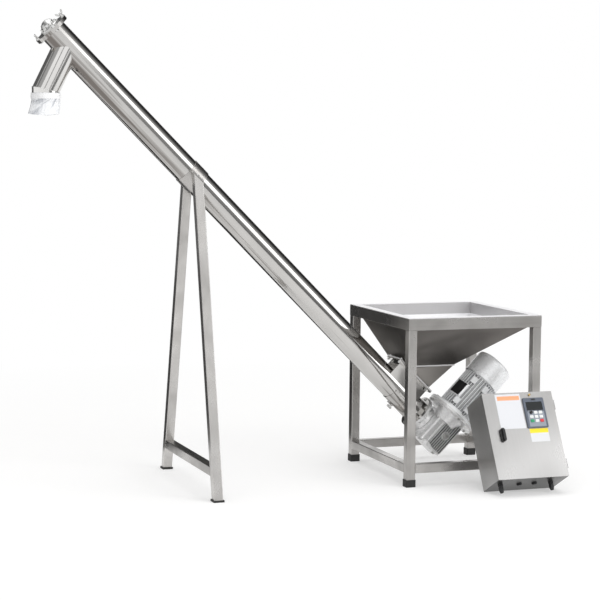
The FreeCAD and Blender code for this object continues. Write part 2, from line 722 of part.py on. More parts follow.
def cleanout_latch():
    """Turn latch: a winged knob with its tongue and pin, free of the keeper in this place."""
    half = TONGUE_WIDTH / 2
    tongue = block(TONGUE_BASE, TONGUE_BASE + TONGUE_THICKNESS, -half, half, -half - 2, TONGUE_REACH)
    tongue = fillet_along(tongue, V(1, 0, 0), half - 0.1)
    pin = turned(rod(LATCH_PIN_RADIUS, TUBE_RADIUS + TOUCH_GAP, KNOB_BASE + 2), V(0, 1, 0), 90)
    knob = turned(rod(LATCH_KNOB_RADIUS, KNOB_BASE, KNOB_BASE + 8), V(0, 1, 0), 90)
    wing = block(KNOB_BASE + 6, KNOB_BASE + 16, -1.5, 1.5, -LATCH_WING_REACH, LATCH_WING_REACH)
    wing = fillet_along(wing, V(0, 1, 0), 4)
    return in_tube(about_latch(join([tongue, pin, knob, wing])))


# Outlet

def mitre_keep(up):
    """Half space above or below the mitre between the slanted pipe and the upright stub."""
    size = 600
    half = block(-size, size, -size, size, 0, size) if up else block(-size, size, -size, size, -size, 0)
    half = turned(half, V(0, 1, 0), SPOUT_LEAN / 2)
    joint = spout_joint()
    return half.translated(joint)


def discharge_spout():
    joint = spout_joint()
    top = SPOUT_DROP + 80
    low = joint.z - STUB_LENGTH

    def stub(radius):
        return rod(radius, low, joint.z + 60, joint.x, joint.y)
    outer = join([spout_solid(SPOUT_RADIUS, top).common(mitre_keep(True)),
                  stub(STUB_RADIUS).common(mitre_keep(False))])
    bore = join([spout_solid(SPOUT_RADIUS - SHEET, top).common(mitre_keep(True)),
                 stub(SPOUT_RADIUS - SHEET).common(mitre_keep(False))])
    tube = in_tube(rod(TUBE_RADIUS, SPOUT_STATION - 300, TUBE_LENGTH))
    return outer.cut(bore).cut(tube)


def sleeve_top():
    return spout_joint().z - STRAP_DROP


def discharge_sleeve():
    """Film sleeve of flat strips: straight on the stub, then flared and drawn a little to the left."""
    joint = spout_joint()
    top = sleeve_top()
    waist = joint.z - STUB_LENGTH

    def outline(radius, x, z):
        corner = radius / math.cos(math.pi / SLEEVE_STRIPS)
        return [V(x + px, joint.y + py, z) for px, py in circle_places(corner, SLEEVE_STRIPS)]

    def skin(extra):
        neck = STUB_RADIUS + TOUCH_GAP + extra
        mouth = SLEEVE_MOUTH_RADIUS - SLEEVE_THICKNESS + extra
        straight = prism(outline(neck, joint.x, waist), V(0, 0, top - waist))
        flare = flat_sided(outline(mouth, joint.x - SLEEVE_SHIFT, top - SLEEVE_LENGTH),
                           outline(neck, joint.x, waist))
        return join([straight, flare])
    return skin(SLEEVE_THICKNESS).cut(skin(0))


def sleeve_strap():
    joint = spout_joint()
    strips = (STUB_RADIUS + TOUCH_GAP + SLEEVE_THICKNESS) / math.cos(math.pi / SLEEVE_STRIPS)
    inner = strips + SEAT_FIT
    band = ring(inner + STRAP_THICKNESS, inner, sleeve_top() - STRAP_HEIGHT, sleeve_top())
    buckle = block(inner + 1, inner + STRAP_THICKNESS + 4, -14, 14,
                   sleeve_top() - STRAP_HEIGHT + 3, sleeve_top() - 3)
    buckle = turned(fillet_along(buckle, V(0, 0, 1), 1.5), V(0, 0, 1), 70)
    return moved(join([band, buckle]), joint.x, joint.y, 0)


# Upper end

def wing_places():
    return circle_places(WING_CIRCLE, 4)


def end_bolt_places():
    return circle_places((END_BASE_RADIUS + END_BOSS_RADIUS) / 2, 4, 45.0)


def end_plate():
    plate = rod(FLANGE_RADIUS, TUBE_LENGTH, PLATE_OUTER)
    plate = plate.cut(rod(HIGH_JOURNAL_RADIUS + 2, TUBE_LENGTH, PLATE_OUTER))
    for x, y in wing_places():
        plate = plate.cut(rod(WING_STUD_RADIUS + BOLT_PLAY, TUBE_LENGTH, PLATE_OUTER, x, y))
    return in_tube(plate)


def end_housing():
    """Round flanged bearing housing with a domed cap and its four set screws."""
    z0 = PLATE_OUTER
    top = z0 + END_BOSS_LENGTH
    bore = END_BEARING_RADIUS + SEAT_FIT
    seat = z0 + END_BEARING_WIDTH + 2
    shell = spin([(bore, z0), (END_BASE_RADIUS, z0), (END_BASE_RADIUS, z0 + END_BASE_THICKNESS - 3),
                  (END_BASE_RADIUS - 3, z0 + END_BASE_THICKNESS),
                  (END_BOSS_RADIUS + 3, z0 + END_BASE_THICKNESS),
                  (END_BOSS_RADIUS, z0 + END_BASE_THICKNESS + 4), (END_BOSS_RADIUS, top - 3),
                  (END_BOSS_RADIUS - 3, top), (bore, top)])
    dome = spin([(0, top), (END_BOSS_RADIUS - 3, top), (END_BOSS_RADIUS - 8, top + END_DOME_LENGTH * 0.4),
                 (END_BOSS_RADIUS - 15, top + END_DOME_LENGTH * 0.8),
                 (END_BOSS_RADIUS - 23, top + END_DOME_LENGTH),
                 (0, top + END_DOME_LENGTH)])
    plug = rod(bore, seat, top)
    body = join([shell, plug, dome])
    body = body.cut(rod(HIGH_JOURNAL_RADIUS + 1, seat - 1, seat + 4))
    screws = []
    for x, y in end_bolt_places():
        screws.append(hexagon(13, z0 + END_BASE_THICKNESS - 0.5, z0 + END_BASE_THICKNESS + 9, x, y))
    return in_tube(join([body] + screws))


def wing_bolt():
    """Stud with a hexagon head below the flange and a wing nut on the plate."""
    low = TUBE_LENGTH - HEAD_FLANGE_THICKNESS
    stud = join([hexagon(13, low - 6, low), rod(WING_STUD_RADIUS, low - 6, PLATE_OUTER + 17)])
    hub = Part.makeCone(8, 6, 11, V(0, 0, PLATE_OUTER))
    z0 = PLATE_OUTER + 4
    wing = prism([V(5, -1.5, z0), V(13, -1.5, z0 + 6), V(19, -1.5, z0 + 17), V(16, -1.5, z0 + 22),
                  V(11, -1.5, z0 + 19), V(5, -1.5, z0 + 7)], V(0, 3, 0))
    return join([stud, hub, wing, turned(wing, V(0, 0, 1), 180)])


def end_wing_bolts():
    bolt = wing_bolt()
    turns = [turned(bolt, V(0, 0, 1), 35 * k) for k in range(4)]
    return [in_tube(moved(piece, x, y, 0)) for piece, (x, y) in zip(turns, wing_places())]


# Screw

def screw_shaft():
    low = -(CASE_REAR - 22)
    high = PLATE_OUTER + END_BEARING_WIDTH + 2
    return in_tube(spin([(0, low), (LOW_JOURNAL_RADIUS - 1, low), (LOW_JOURNAL_RADIUS, low + 1),
                         (LOW_JOURNAL_RADIUS, FOOT_FLANGE_THICKNESS + 2),
                         (SHAFT_RADIUS, FOOT_FLANGE_THICKNESS + 4),
                         (SHAFT_RADIUS, TUBE_LENGTH - 16), (HIGH_JOURNAL_RADIUS, TUBE_LENGTH - 12),
                         (HIGH_JOURNAL_RADIUS, high - 1), (HIGH_JOURNAL_RADIUS - 1, high), (0, high)]))


def screw_flight():
    flight = helical_ridge(SHAFT_RADIUS + 0.1, FLIGHT_RADIUS, FLIGHT_THICKNESS, FLIGHT_THICKNESS,
                           FLIGHT_PITCH, FLIGHT_TURNS)
    return in_tube(moved(flight, 0, 0, FLIGHT_START))


# Support stand

def clamp_point():
    """Station on the tube where the support stand holds it."""
    run = (TUBE_FRAME.Base.x - SUPPORT_X) / math.sin(math.radians(TUBE_SLOPE))
    return run


def support_leg(side):
    """Square tube from its pad to the lower clamp ear, leaning in towards the tube."""
    top = TUBE_FRAME.multVec(V(0, 0, clamp_point()))
    foot_y = side * (SUPPORT_SPREAD / 2 - HALF_BAR)
    head_y = side * (TUBE_RADIUS + CLAMP_WALL + HALF_BAR)
    lean = math.degrees(math.atan2(foot_y - head_y, top.z))
    length = 1.1 * top.z
    bar = moved(hollow_bar(BAR_SIDE, BAR_SIDE, length), 0, 0, -0.05 * top.z)
    bar = moved(turned(bar, V(1, 0, 0), lean), SUPPORT_X, MIDDLE_Y + foot_y, 0)
    floor = block(SUPPORT_X - 200, SUPPORT_X + 200, -400, 1100, -200, PAD_HEIGHT)
    ear = in_tube(block(-EAR_THICKNESS - TOUCH_GAP / 2, 500, -600, 600,
                        clamp_point() - 300, clamp_point() + 300))
    clear = in_tube(rod(TUBE_RADIUS + CLAMP_WALL + SEAT_FIT, clamp_point() - 200, clamp_point() + 200))
    return bar.cut(floor).cut(ear).cut(clear)


def support_bar():
    """Bar between the two legs, its ends cut to their slope."""
    top = TUBE_FRAME.multVec(V(0, 0, clamp_point()))
    foot = SUPPORT_SPREAD / 2 - HALF_BAR
    head = TUBE_RADIUS + CLAMP_WALL + HALF_BAR
    slope = (foot - head) / top.z
    half_leg = HALF_BAR * math.sqrt(1 + slope ** 2)
    bar = turned(hollow_bar(BAR_SIDE, BAR_SIDE, 2 * foot), V(1, 0, 0), -90)
    bar = moved(bar, SUPPORT_X, MIDDLE_Y - foot, SUPPORT_BAR_BASE + HALF_BAR)
    low, high = SUPPORT_BAR_BASE, SUPPORT_BAR_BASE + BAR_SIDE
    inner_low = foot - slope * low - half_leg
    inner_high = foot - slope * high - half_leg
    x = SUPPORT_X - BAR_SIDE
    room = prism([V(x, MIDDLE_Y - inner_low, low), V(x, MIDDLE_Y + inner_low, low),
                  V(x, MIDDLE_Y + inner_high, high), V(x, MIDDLE_Y - inner_high, high)],
                 V(2 * BAR_SIDE, 0, 0))
    return bar.common(room)


def support_pad(side):
    y = MIDDLE_Y + side * (SUPPORT_SPREAD / 2 - HALF_BAR)
    half_x = HALF_BAR + 4
    half_y = HALF_BAR + 6
    pad = block(SUPPORT_X - half_x, SUPPORT_X + half_x, y - half_y, y + half_y, 0, PAD_HEIGHT)
    return fillet_along(pad, V(0, 0, 1), 4)


def clamp_half(sign):
    """Half shell round the tube with an ear on each side; sign -1 is the saddle, +1 the strap."""
    z0 = clamp_point() - CLAMP_LENGTH / 2
    z1 = z0 + CLAMP_LENGTH
    outer = TUBE_RADIUS + SEAT_FIT + CLAMP_WALL
    shell = ring(outer, TUBE_RADIUS + SEAT_FIT, z0, z1)
    gap = TOUCH_GAP / 2
    if sign > 0:
        shell = shell.cut(block(-outer, gap, -outer, outer, z0, z1))
        ears = block(gap, gap + EAR_THICKNESS, -outer - EAR_WIDTH, outer + EAR_WIDTH, z0, z1)
    else:
        shell = shell.cut(block(-gap, outer, -outer, outer, z0, z1))
        ears = block(-gap - EAR_THICKNESS, -gap, -outer - EAR_WIDTH, outer + EAR_WIDTH, z0, z1)
    ears = fillet_along(ears, V(1, 0, 0), 6)
    half = join([shell, ears.cut(rod(TUBE_RADIUS + SEAT_FIT, z0, z1))])
    for x, y, z in clamp_bolt_places():
        hole = turned(rod(BOLT_HOLE_RADIUS, -EAR_THICKNESS - 1, EAR_THICKNESS + 1), V(0, 1, 0), 90)
        half = half.cut(moved(hole, x, y, z))
    return in_tube(half)


def clamp_bolt_places():
    reach = TUBE_RADIUS + CLAMP_WALL + EAR_WIDTH - 10
    return [(0, side * reach, clamp_point() + step) for side in (-1, 1) for step in CLAMP_BOLT_STEPS]


def support_bolts():
    """Clamp bolts, with their nuts inside the heads of the hollow legs."""
    grip = EAR_THICKNESS + TOUCH_GAP / 2
    bolt = join([rod(BOLT_RADIUS, -grip - 8, grip), hexagon(13, grip, grip + 5.5),
                 hexagon(13, -grip - 6.5, -grip)])
    upright = turned(bolt, V(0, 1, 0), 90)
    return [in_tube(moved(upright, x, y, z)) for x, y, z in clamp_bolt_places()]


# Worm drive, in the tube's frame with Z negative below the tube's foot

def across(shape):
    """Turn a shape built along the motor's axis into the tube's frame."""
    out = turned(shape, V(0, 1, 0), 90)
    return moved(out, 0, -GEAR_CENTRES, -WORM_STATION)


def gearbox_housing():
    """Cast case: wheel chamber, worm tunnel, ribbed front, neck, output and motor flanges."""
    chamber = rod(CASE_RADIUS, -CASE_REAR, -CASE_FRONT)
    tunnel = block(-CASE_BELOW, MOTOR_FLANGE_START, -CASE_SIDE, 0, -CASE_REAR, -CASE_FRONT - 10)
    tunnel = fillet_along(tunnel, V(1, 0, 0), 10)
    neck_length = CASE_FRONT - REDUCER_FLANGE_THICKNESS + 1
    neck = Part.makeCone(CASE_RADIUS - 12, NECK_RADIUS, neck_length, V(0, 0, -CASE_FRONT))
    flange = rod(FLANGE_RADIUS, -REDUCER_FLANGE_THICKNESS, 0)
    disc = across(rod(MOTOR_FLANGE_RADIUS, MOTOR_FLANGE_START, MOTOR_FLANGE_MID))
    throat = across(Part.makeCone(52, 70, MOTOR_FLANGE_START - 40, V(0, 0, 40)))
    tail = across(rod(38, -CASE_BELOW - 6, -CASE_BELOW + 10))
    gussets = []
    for angle in (30, 90, 150, 210, 270, 330):
        web = prism([V(40, -3, -CASE_FRONT - 6), V(FLANGE_RADIUS - 6, -3, -REDUCER_FLANGE_THICKNESS),
                     V(40, -3, -REDUCER_FLANGE_THICKNESS)], V(0, 6, 0))
        gussets.append(turned(web, V(0, 0, 1), angle))
    body = join([chamber, tunnel, neck, flange, disc, throat, tail] + gussets + case_ribs())
    body = body.cut(rod(CASE_CAVITY_RADIUS, -CASE_REAR, -CASE_FRONT - 25))
    body = body.cut(rod(WHEEL_BEARING_RADIUS + SEAT_FIT, -CASE_REAR, -CASE_FRONT - 10))
    body = body.cut(rod(SEAL_RADIUS + 2 + SEAT_FIT, -CASE_REAR, 0))
    body = body.cut(across(rod(WORM_BEARING_RADIUS + SEAT_FIT, -CASE_BELOW + 4, MOTOR_FLANGE_MID)))
    for x, y in flange_bolt_places():
        body = body.cut(rod(BOLT_HOLE_RADIUS, -REDUCER_FLANGE_THICKNESS, 0, x, y))
    for x, y in motor_bolt_places():
        body = body.cut(across(rod(BOLT_HOLE_RADIUS, MOTOR_FLANGE_START, MOTOR_FLANGE_MID, x, y)))
    return in_tube(body)


def case_ribs():
    """Cooling ribs along the motor's axis on the case's front, with a frame and the plug's boss."""
    z_low = -CASE_REAR + 6
    z_high = z_low + 78
    pieces = []
    step = (z_high - z_low - RIB_THICKNESS) / (RIB_COUNT - 1)
    for k in range(RIB_COUNT):
        z = z_low + k * step
        pieces.append(block(-CASE_BELOW + 8, MOTOR_FLANGE_START - 12, -CASE_SIDE - RIB_HEIGHT, -CASE_SIDE + 4,
                            z, z + RIB_THICKNESS))
    boss = turned(rod(PLUG_RADIUS, 0, RIB_HEIGHT + 5), V(1, 0, 0), 90)
    pieces.append(moved(boss, -2, -CASE_SIDE + 4, (z_low + z_high) / 2))
    return pieces


def motor_bolt_places():
    return circle_places(MOTOR_FLANGE_RADIUS - 15, 4)


def gearbox_cover():
    """Rear cover with the wheel's second bearing seat and a raised middle."""
    rear = -CASE_REAR - COVER_PLATE_THICKNESS
    seat = WHEEL_BEARING_RADIUS + SEAT_FIT
    inside = -WORM_STATION - WHEEL_WIDTH / 2 - 4
    return in_tube(spin([(0, rear - 6), (40, rear - 6), (46, rear), (CASE_RADIUS - 3, rear),
                         (CASE_RADIUS, rear + 3), (CASE_RADIUS, -CASE_REAR),
                         (CASE_CAVITY_RADIUS - 6, -CASE_REAR), (seat + 8, inside - 2), (seat, inside - 2),
                         (seat, -CASE_REAR + 6), (0, -CASE_REAR + 6)]))


def gearbox_plugs():
    """Sight plug on the ribbed front, breather on top and drain plug below."""
    face = -CASE_SIDE - RIB_HEIGHT - 1
    middle = -CASE_REAR + 6 + 39
    sight = join([turned(rod(PLUG_RADIUS - 5, 0, 3), V(1, 0, 0), 90),
                  turned(hexagon(14, 3, 9), V(1, 0, 0), 90)])
    sight = moved(sight, -2, face, middle)
    breather = join([rod(7, 0, 4), hexagon(14, 4, 10), rod(4, 10, 14)])
    breather = moved(turned(breather, V(1, 0, 0), -90), 0, CASE_RADIUS, -CASE_REAR + 30)
    drain = join([rod(9, 0, 3), hexagon(13, 3, 9)])
    drain = moved(turned(drain, V(0, 1, 0), -90), -CASE_BELOW, -CASE_SIDE + 22, -CASE_REAR + 22)
    return [in_tube(piece) for piece in (sight, breather, drain)]


def wheel_bearing_starts():
    front = -CASE_FRONT - 10 - WHEEL_BEARING_WIDTH
    rear = -WORM_STATION - WHEEL_WIDTH / 2 - 6 - WHEEL_BEARING_WIDTH
    return front, rear


def worm_bearing_starts():
    return -CASE_BELOW + 4, 60.0


def motor_bearing_starts():
    return MOTOR_FLANGE_MID + 4, MOTOR_BODY_END - 10


def drive_bearings():
    wheel = ball_bearing(WHEEL_BEARING_RADIUS, HUB_RADIUS + RUN_FIT, WHEEL_BEARING_WIDTH)
    worm = ball_bearing(WORM_BEARING_RADIUS, MOTOR_SHAFT_RADIUS + RUN_FIT, WHEEL_BEARING_WIDTH)
    motor = ball_bearing(MOTOR_BEARING_RADIUS, MOTOR_SHAFT_RADIUS + RUN_FIT, MOTOR_BEARING_WIDTH)
    pieces = [in_tube(moved(wheel, 0, 0, z)) for z in wheel_bearing_starts()]
    pieces += [in_motor(moved(worm, 0, 0, z)) for z in worm_bearing_starts()]
    return pieces + [in_motor(moved(motor, 0, 0, z)) for z in motor_bearing_starts()]


def end_bearing():
    bearing = ball_bearing(END_BEARING_RADIUS, HIGH_JOURNAL_RADIUS + RUN_FIT, END_BEARING_WIDTH)
    return in_tube(moved(bearing, 0, 0, PLATE_OUTER + 1))


def shaft_seals():
    """Lip seals in the tube's foot plate and in the reducer's neck."""
    inner = LOW_JOURNAL_RADIUS + RUN_FIT
    foot = ring(SEAL_RADIUS - SEAT_FIT, inner, 1, FOOT_FLANGE_THICKNESS - 1)
    neck = ring(SEAL_RADIUS + 2, inner, -REDUCER_FLANGE_THICKNESS, -REDUCER_FLANGE_THICKNESS + 10)
    return [in_tube(foot), in_tube(neck)]


def tooth_width(height):
    """Width of a tooth or thread at a height above its pitch line."""
    return TOOTH_PITCH / 2 - TOOTH_PLAY - 2 * height * math.tan(math.radians(PRESSURE_ANGLE))


def worm_phase():
    """Turn of the worm that puts a wheel tooth midway between two threads."""
    thread = (WORM_LEAD / 4 - WORM_LENGTH / 2) % TOOTH_PITCH
    return -360 * (TOOTH_PITCH / 2 - thread) / WORM_LEAD


def worm_wheel():
    """Toothed rim with slanted teeth on a webbed hub that fits the screw's journal."""
    tip = WHEEL_PITCH_RADIUS + TOOTH_ADDENDUM
    root = WHEEL_PITCH_RADIUS - TOOTH_DEDENDUM
    half = WHEEL_WIDTH / 2
    slant = WHEEL_WIDTH * WORM_LEAD / (2 * math.pi * WORM_PITCH_RADIUS)
    twist = slant / WHEEL_PITCH_RADIUS

    def section(z, turn):
        points = []
        for k in range(WHEEL_TEETH):
            middle = 2 * math.pi * k / WHEEL_TEETH + turn
            for radius, width in ((root, -tooth_width(-TOOTH_DEDENDUM)), (tip, -tooth_width(TOOTH_ADDENDUM)),
                                  (tip, tooth_width(TOOTH_ADDENDUM)), (root, tooth_width(-TOOTH_DEDENDUM))):
                angle = middle + width / 2 / radius
                points.append(V(radius * math.cos(angle), radius * math.sin(angle), z))
        return points
    rim = twisted_prism(section(-half, -twist / 2), section(half, twist / 2))
    hub_low = wheel_bearing_starts()[1] + WORM_STATION
    hub_high = wheel_bearing_starts()[0] + WHEEL_BEARING_WIDTH + WORM_STATION
    hub = rod(HUB_RADIUS, hub_low, hub_high)
    groove = ring(root - 8, HUB_RADIUS + 8, 6, half)
    body = rim.cut(groove).cut(moved(groove, 0, 0, -half - 6))
    body = join([body, hub]).cut(rod(LOW_JOURNAL_RADIUS + 0.02, hub_low, hub_high))
    return in_tube(moved(turned(body, V(0, 0, 1), -90), 0, 0, -WORM_STATION))


def worm_shaft():
    """Motor shaft that ends in the four-start worm."""
    low = -CASE_BELOW + 4
    high = COWL_START + 66
    shaft = spin([(0, low), (MOTOR_SHAFT_RADIUS, low), (MOTOR_SHAFT_RADIUS, -WORM_LENGTH / 2 - 6),
                  (WORM_PITCH_RADIUS - TOOTH_DEDENDUM, -WORM_LENGTH / 2 - 2),
                  (WORM_PITCH_RADIUS - TOOTH_DEDENDUM, WORM_LENGTH / 2 + 2),
                  (MOTOR_SHAFT_RADIUS, WORM_LENGTH / 2 + 6), (MOTOR_SHAFT_RADIUS, high), (0, high)])
    tip = WORM_PITCH_RADIUS + TOOTH_ADDENDUM
    buried = TOOTH_DEDENDUM + 0.5
    thread = helical_ridge(WORM_PITCH_RADIUS - buried, tip, tooth_width(-buried), tooth_width(TOOTH_ADDENDUM),
                           WORM_LEAD, WORM_LENGTH / WORM_LEAD)
    thread = moved(thread, 0, 0, -WORM_LENGTH / 2)
    threads = [turned(thread, V(0, 0, 1), 360 * k / WORM_STARTS) for k in range(WORM_STARTS)]
    body = join([shaft] + threads)
    return in_motor(turned(body, V(0, 0, 1), worm_phase()))


def drive_bolts():
    """Bolts between the tube's foot plate and the reducer, and round the motor flange."""
    bolt = join([rod(BOLT_RADIUS, -REDUCER_FLANGE_THICKNESS - 8, FOOT_FLANGE_THICKNESS),
                 hexagon(12, FOOT_FLANGE_THICKNESS, FOOT_FLANGE_THICKNESS + 5.5),
                 hexagon(12, -REDUCER_FLANGE_THICKNESS - 6.5, -REDUCER_FLANGE_THICKNESS)])
    pieces = [in_tube(moved(bolt, x, y, 0)) for x, y in flange_bolt_places()]
    stud = join([rod(BOLT_RADIUS, MOTOR_FLANGE_START - 8, MOTOR_FLANGE_END),
                 hexagon(13, MOTOR_FLANGE_END, MOTOR_FLANGE_END + 5.5),
                 hexagon(13, MOTOR_FLANGE_START - 6.5, MOTOR_FLANGE_START)])
    for x, y in motor_bolt_places():
        pieces.append(in_motor(moved(stud, x, y, 0)))
    return pieces


# Motor

def motor_housing():
    """Finned stator housing with foot pads and the seat of the terminal box."""
    points = []
    step = 360 / MOTOR_FIN_COUNT
    half = math.degrees(MOTOR_FIN_THICKNESS / 2 / MOTOR_FIN_RADIUS)
    for k in range(MOTOR_FIN_COUNT):
        for radius, angle in ((MOTOR_CORE_RADIUS, step * k - 1.6 * half), (MOTOR_FIN_RADIUS, step * k - half),
                              (MOTOR_FIN_RADIUS, step * k + half),
                              (MOTOR_CORE_RADIUS, step * k + 1.6 * half)):
            a = math.radians(angle)
            points.append(V(radius * math.cos(a), radius * math.sin(a), MOTOR_BODY_START))
    body = prism(points, V(0, 0, MOTOR_BODY_LENGTH))
    pads = []
    for z in (MOTOR_BODY_START + 12, MOTOR_BODY_END - 44):
        for angle in (-128, -84):
            pad = block(60, MOTOR_FIN_RADIUS + 7, -13, 13, z, z + 30)
            pads.append(turned(pad, V(0, 0, 1), angle))
    seat = block(60, MOTOR_FIN_RADIUS + 3, -TERMINAL_WIDTH / 2 + 4, TERMINAL_WIDTH / 2 - 4,
                 TERMINAL_START + 3, TERMINAL_START + TERMINAL_LENGTH - 3)
    pads.append(turned(seat, V(0, 0, 1), -TERMINAL_TURN))
    body = join([body] + pads)
    return in_motor(body.cut(rod(STATOR_RADIUS + SEAT_FIT, MOTOR_BODY_START, MOTOR_BODY_END)))


def motor_end_bells():
    """Drive-side bell with the round flange, and the rear bell with the cowl's four lugs."""
    start = MOTOR_FLANGE_MID
    bore = MOTOR_BEARING_RADIUS + SEAT_FIT
    front = spin([(MOTOR_SHAFT_RADIUS + 2, start), (MOTOR_FLANGE_RADIUS, start),
                  (MOTOR_FLANGE_RADIUS, MOTOR_FLANGE_END), (92, MOTOR_FLANGE_END),
                  (80, MOTOR_FLANGE_END + 5), (80, MOTOR_BODY_START), (bore + 6, MOTOR_BODY_START),
                  (bore + 6, start + 4 + MOTOR_BEARING_WIDTH), (bore, start + 4 + MOTOR_BEARING_WIDTH),
                  (bore, start + 4), (MOTOR_SHAFT_RADIUS + 2, start + 4)])
    for x, y in motor_bolt_places():
        front = front.cut(rod(BOLT_HOLE_RADIUS, start, MOTOR_FLANGE_END, x, y))
    seat = motor_bearing_starts()[1]
    rear_end = MOTOR_BODY_END + 9
    rear = spin([(bore, seat), (bore + 7, seat), (bore + 7, MOTOR_BODY_END), (80, MOTOR_BODY_END),
                 (80, rear_end), (MOTOR_SHAFT_RADIUS + 1, rear_end),
                 (MOTOR_SHAFT_RADIUS + 1, seat + MOTOR_BEARING_WIDTH), (bore, seat + MOTOR_BEARING_WIDTH)])
    lugs = []
    reach = rod(COWL_RADIUS - COWL_WALL - SEAT_FIT, MOTOR_BODY_END, rear_end)
    for k in range(4):
        lug = block(74, COWL_RADIUS, -6, 6, MOTOR_BODY_END, rear_end).common(reach)
        lugs.append(turned(lug, V(0, 0, 1), 45 + 90 * k))
    rear = join([rear] + lugs)
    return [in_motor(front), in_motor(rear)]


def motor_stator():
    """Lamination stack with a winding overhang at each end."""
    bore = ROTOR_RADIUS + AIR_GAP
    end = CORE_START + CORE_LENGTH
    return in_motor(spin([(bore, CORE_START), (bore + 5, CORE_START), (bore + 7, CORE_START - 14),
                          (STATOR_RADIUS - 7, CORE_START - 14), (STATOR_RADIUS - 4, CORE_START),
                          (STATOR_RADIUS, CORE_START), (STATOR_RADIUS, end), (STATOR_RADIUS - 4, end),
                          (STATOR_RADIUS - 7, end + 14), (bore + 7, end + 14), (bore + 5, end), (bore, end)]))


def motor_rotor():
    """Rotor core with end rings and small ring vanes."""
    fit = MOTOR_SHAFT_RADIUS + 0.02
    body = ring(ROTOR_RADIUS, fit, CORE_START, CORE_START + CORE_LENGTH)
    vanes = []
    for k in range(8):
        for z in (CORE_START - 9, CORE_START + CORE_LENGTH - 1):
            vanes.append(turned(block(26, 38, -1.5, 1.5, z, z + 10), V(0, 0, 1), 45 * k))
    return in_motor(join([body] + vanes))


def cooling_fan():
    """Radial fan: hub, back disc and straight blades."""
    z0 = COWL_START + 26
    hub = rod(20, z0, z0 + 34)
    disc = rod(FAN_RADIUS - 6, z0, z0 + 2.5)
    blades = []
    for k in range(FAN_BLADES):
        outline = [V(16, -1.2, z0), V(FAN_RADIUS - 4, -1.2, z0),
                   V(FAN_RADIUS, -1.2, z0 + 28), V(16, -1.2, z0 + 24)]
        blade = prism(outline, V(0, 2.4, 0))
        blades.append(turned(blade, V(0, 0, 1), 360 * k / FAN_BLADES))
    body = join([hub, disc] + blades)
    return in_motor(body.cut(rod(MOTOR_SHAFT_RADIUS + 0.02, z0, z0 + 40)))


def motor_fan_cowl():
    """Spun cowl with a bevelled end and rings of air slots."""
    end = COWL_START + COWL_LENGTH
    inner = COWL_RADIUS - COWL_WALL
    cowl = spin([(inner, COWL_START), (COWL_RADIUS, COWL_START), (COWL_RADIUS, end - COWL_BEVEL),
                 (COWL_RADIUS - 4, end - 6), (COWL_RADIUS - 12, end - 1.5), (COWL_RADIUS - 18, end), (0, end),
                 (0, end - COWL_WALL), (COWL_RADIUS - 18, end - COWL_WALL), (COWL_RADIUS - 13, end - 3),
                 (inner - 4, end - 7), (inner, end - COWL_BEVEL)])
    for radius, count in ((28, 4), (42, 6), (56, 8)):
        for k in range(count):
            span = 360 / count
            slot = Part.makeCylinder(radius + 3.5, 6, V(0, 0, end - 4), V(0, 0, 1), span - 560 / radius)
            slot = turned(slot.cut(rod(radius - 3.5, end - 4, end + 2)), V(0, 0, 1), span * k)
            cowl = cowl.cut(slot)
    return in_motor(cowl)


def terminal_place(shape):
    out = turned(shape, V(0, 0, 1), -TERMINAL_TURN)
    return in_motor(out)


def terminal_box():
    """Open box on the housing's seat."""
    x0 = MOTOR_FIN_RADIUS + 3
    x1 = x0 + TERMINAL_HEIGHT
    half = TERMINAL_WIDTH / 2
    z0 = TERMINAL_START
    z1 = TERMINAL_START + TERMINAL_LENGTH
    outer = fillet_along(block(x0, x1, -half, half, z0, z1), V(1, 0, 0), 6)
    inner = block(x0 + 4, x1, -half + 4, half - 4, z0 + 4, z1 - 4)
    return terminal_place(outer.cut(inner))


def terminal_lid():
    x0 = MOTOR_FIN_RADIUS + 3 + TERMINAL_HEIGHT
    half = TERMINAL_WIDTH / 2
    z0 = TERMINAL_START
    z1 = TERMINAL_START + TERMINAL_LENGTH
    lid = fillet_along(block(x0, x0 + 6, -half, half, z0, z1), V(1, 0, 0), 6)
    top_edges = [e for e in lid.Edges if min(p.Point.x for p in e.Vertexes) > x0 + 5.9]
    lid = lid.makeChamfer(2, top_edges)
    screws = [turned(rod(3.2, x0 + 4, x0 + 7.5), V(0, 1, 0), 90).translated(V(0, y, z))
              for y in (-half + 9, half - 9) for z in (z0 + 9, z1 - 9)]
    return terminal_place(join([lid] + screws))


def cable_gland(length):
    """Gland along -Z from the wall at z = 0: body, hexagon, domed nut and the lock nut inside."""
    outside = join([hexagon(22, -8, 0), rod(9.5, -12, -8), hexagon(21, -length + 10, -12),
                    Part.makeCone(GLAND_BORE_RADIUS + 2.5, 10.5, 10, V(0, 0, -length))])
    inside = join([rod(8.0, 0, 12), hexagon(22, BOX_SHEET, BOX_SHEET + 5)])
    return join([outside, inside]).cut(rod(GLAND_BORE_RADIUS, -length, 12))


def cable_glands():
    """Two glands and two blind plugs in the control box's floor, one gland on the motor's terminal box."""
    pieces = []
    for x in GLAND_POSITIONS:
        pieces.append(in_box(moved(cable_gland(GLAND_LENGTH), x, -GLAND_SETBACK, 0)))
    for x in BLIND_PLUG_POSITIONS:
        plug = join([rod(12, -5, 0), rod(8.0, 0, 9), hexagon(22, BOX_SHEET, BOX_SHEET + 5), rod(9, -8, -5)])
        pieces.append(in_box(moved(plug, x, -GLAND_SETBACK, 0)))
    motor_gland = cable_gland(26)
    x = MOTOR_FIN_RADIUS + 3 + TERMINAL_HEIGHT / 2
    pieces.append(terminal_place(moved(motor_gland.cut(rod(30, 0.0, 20)), x, 0, TERMINAL_START)))
    return pieces


# Control box, in its own frame

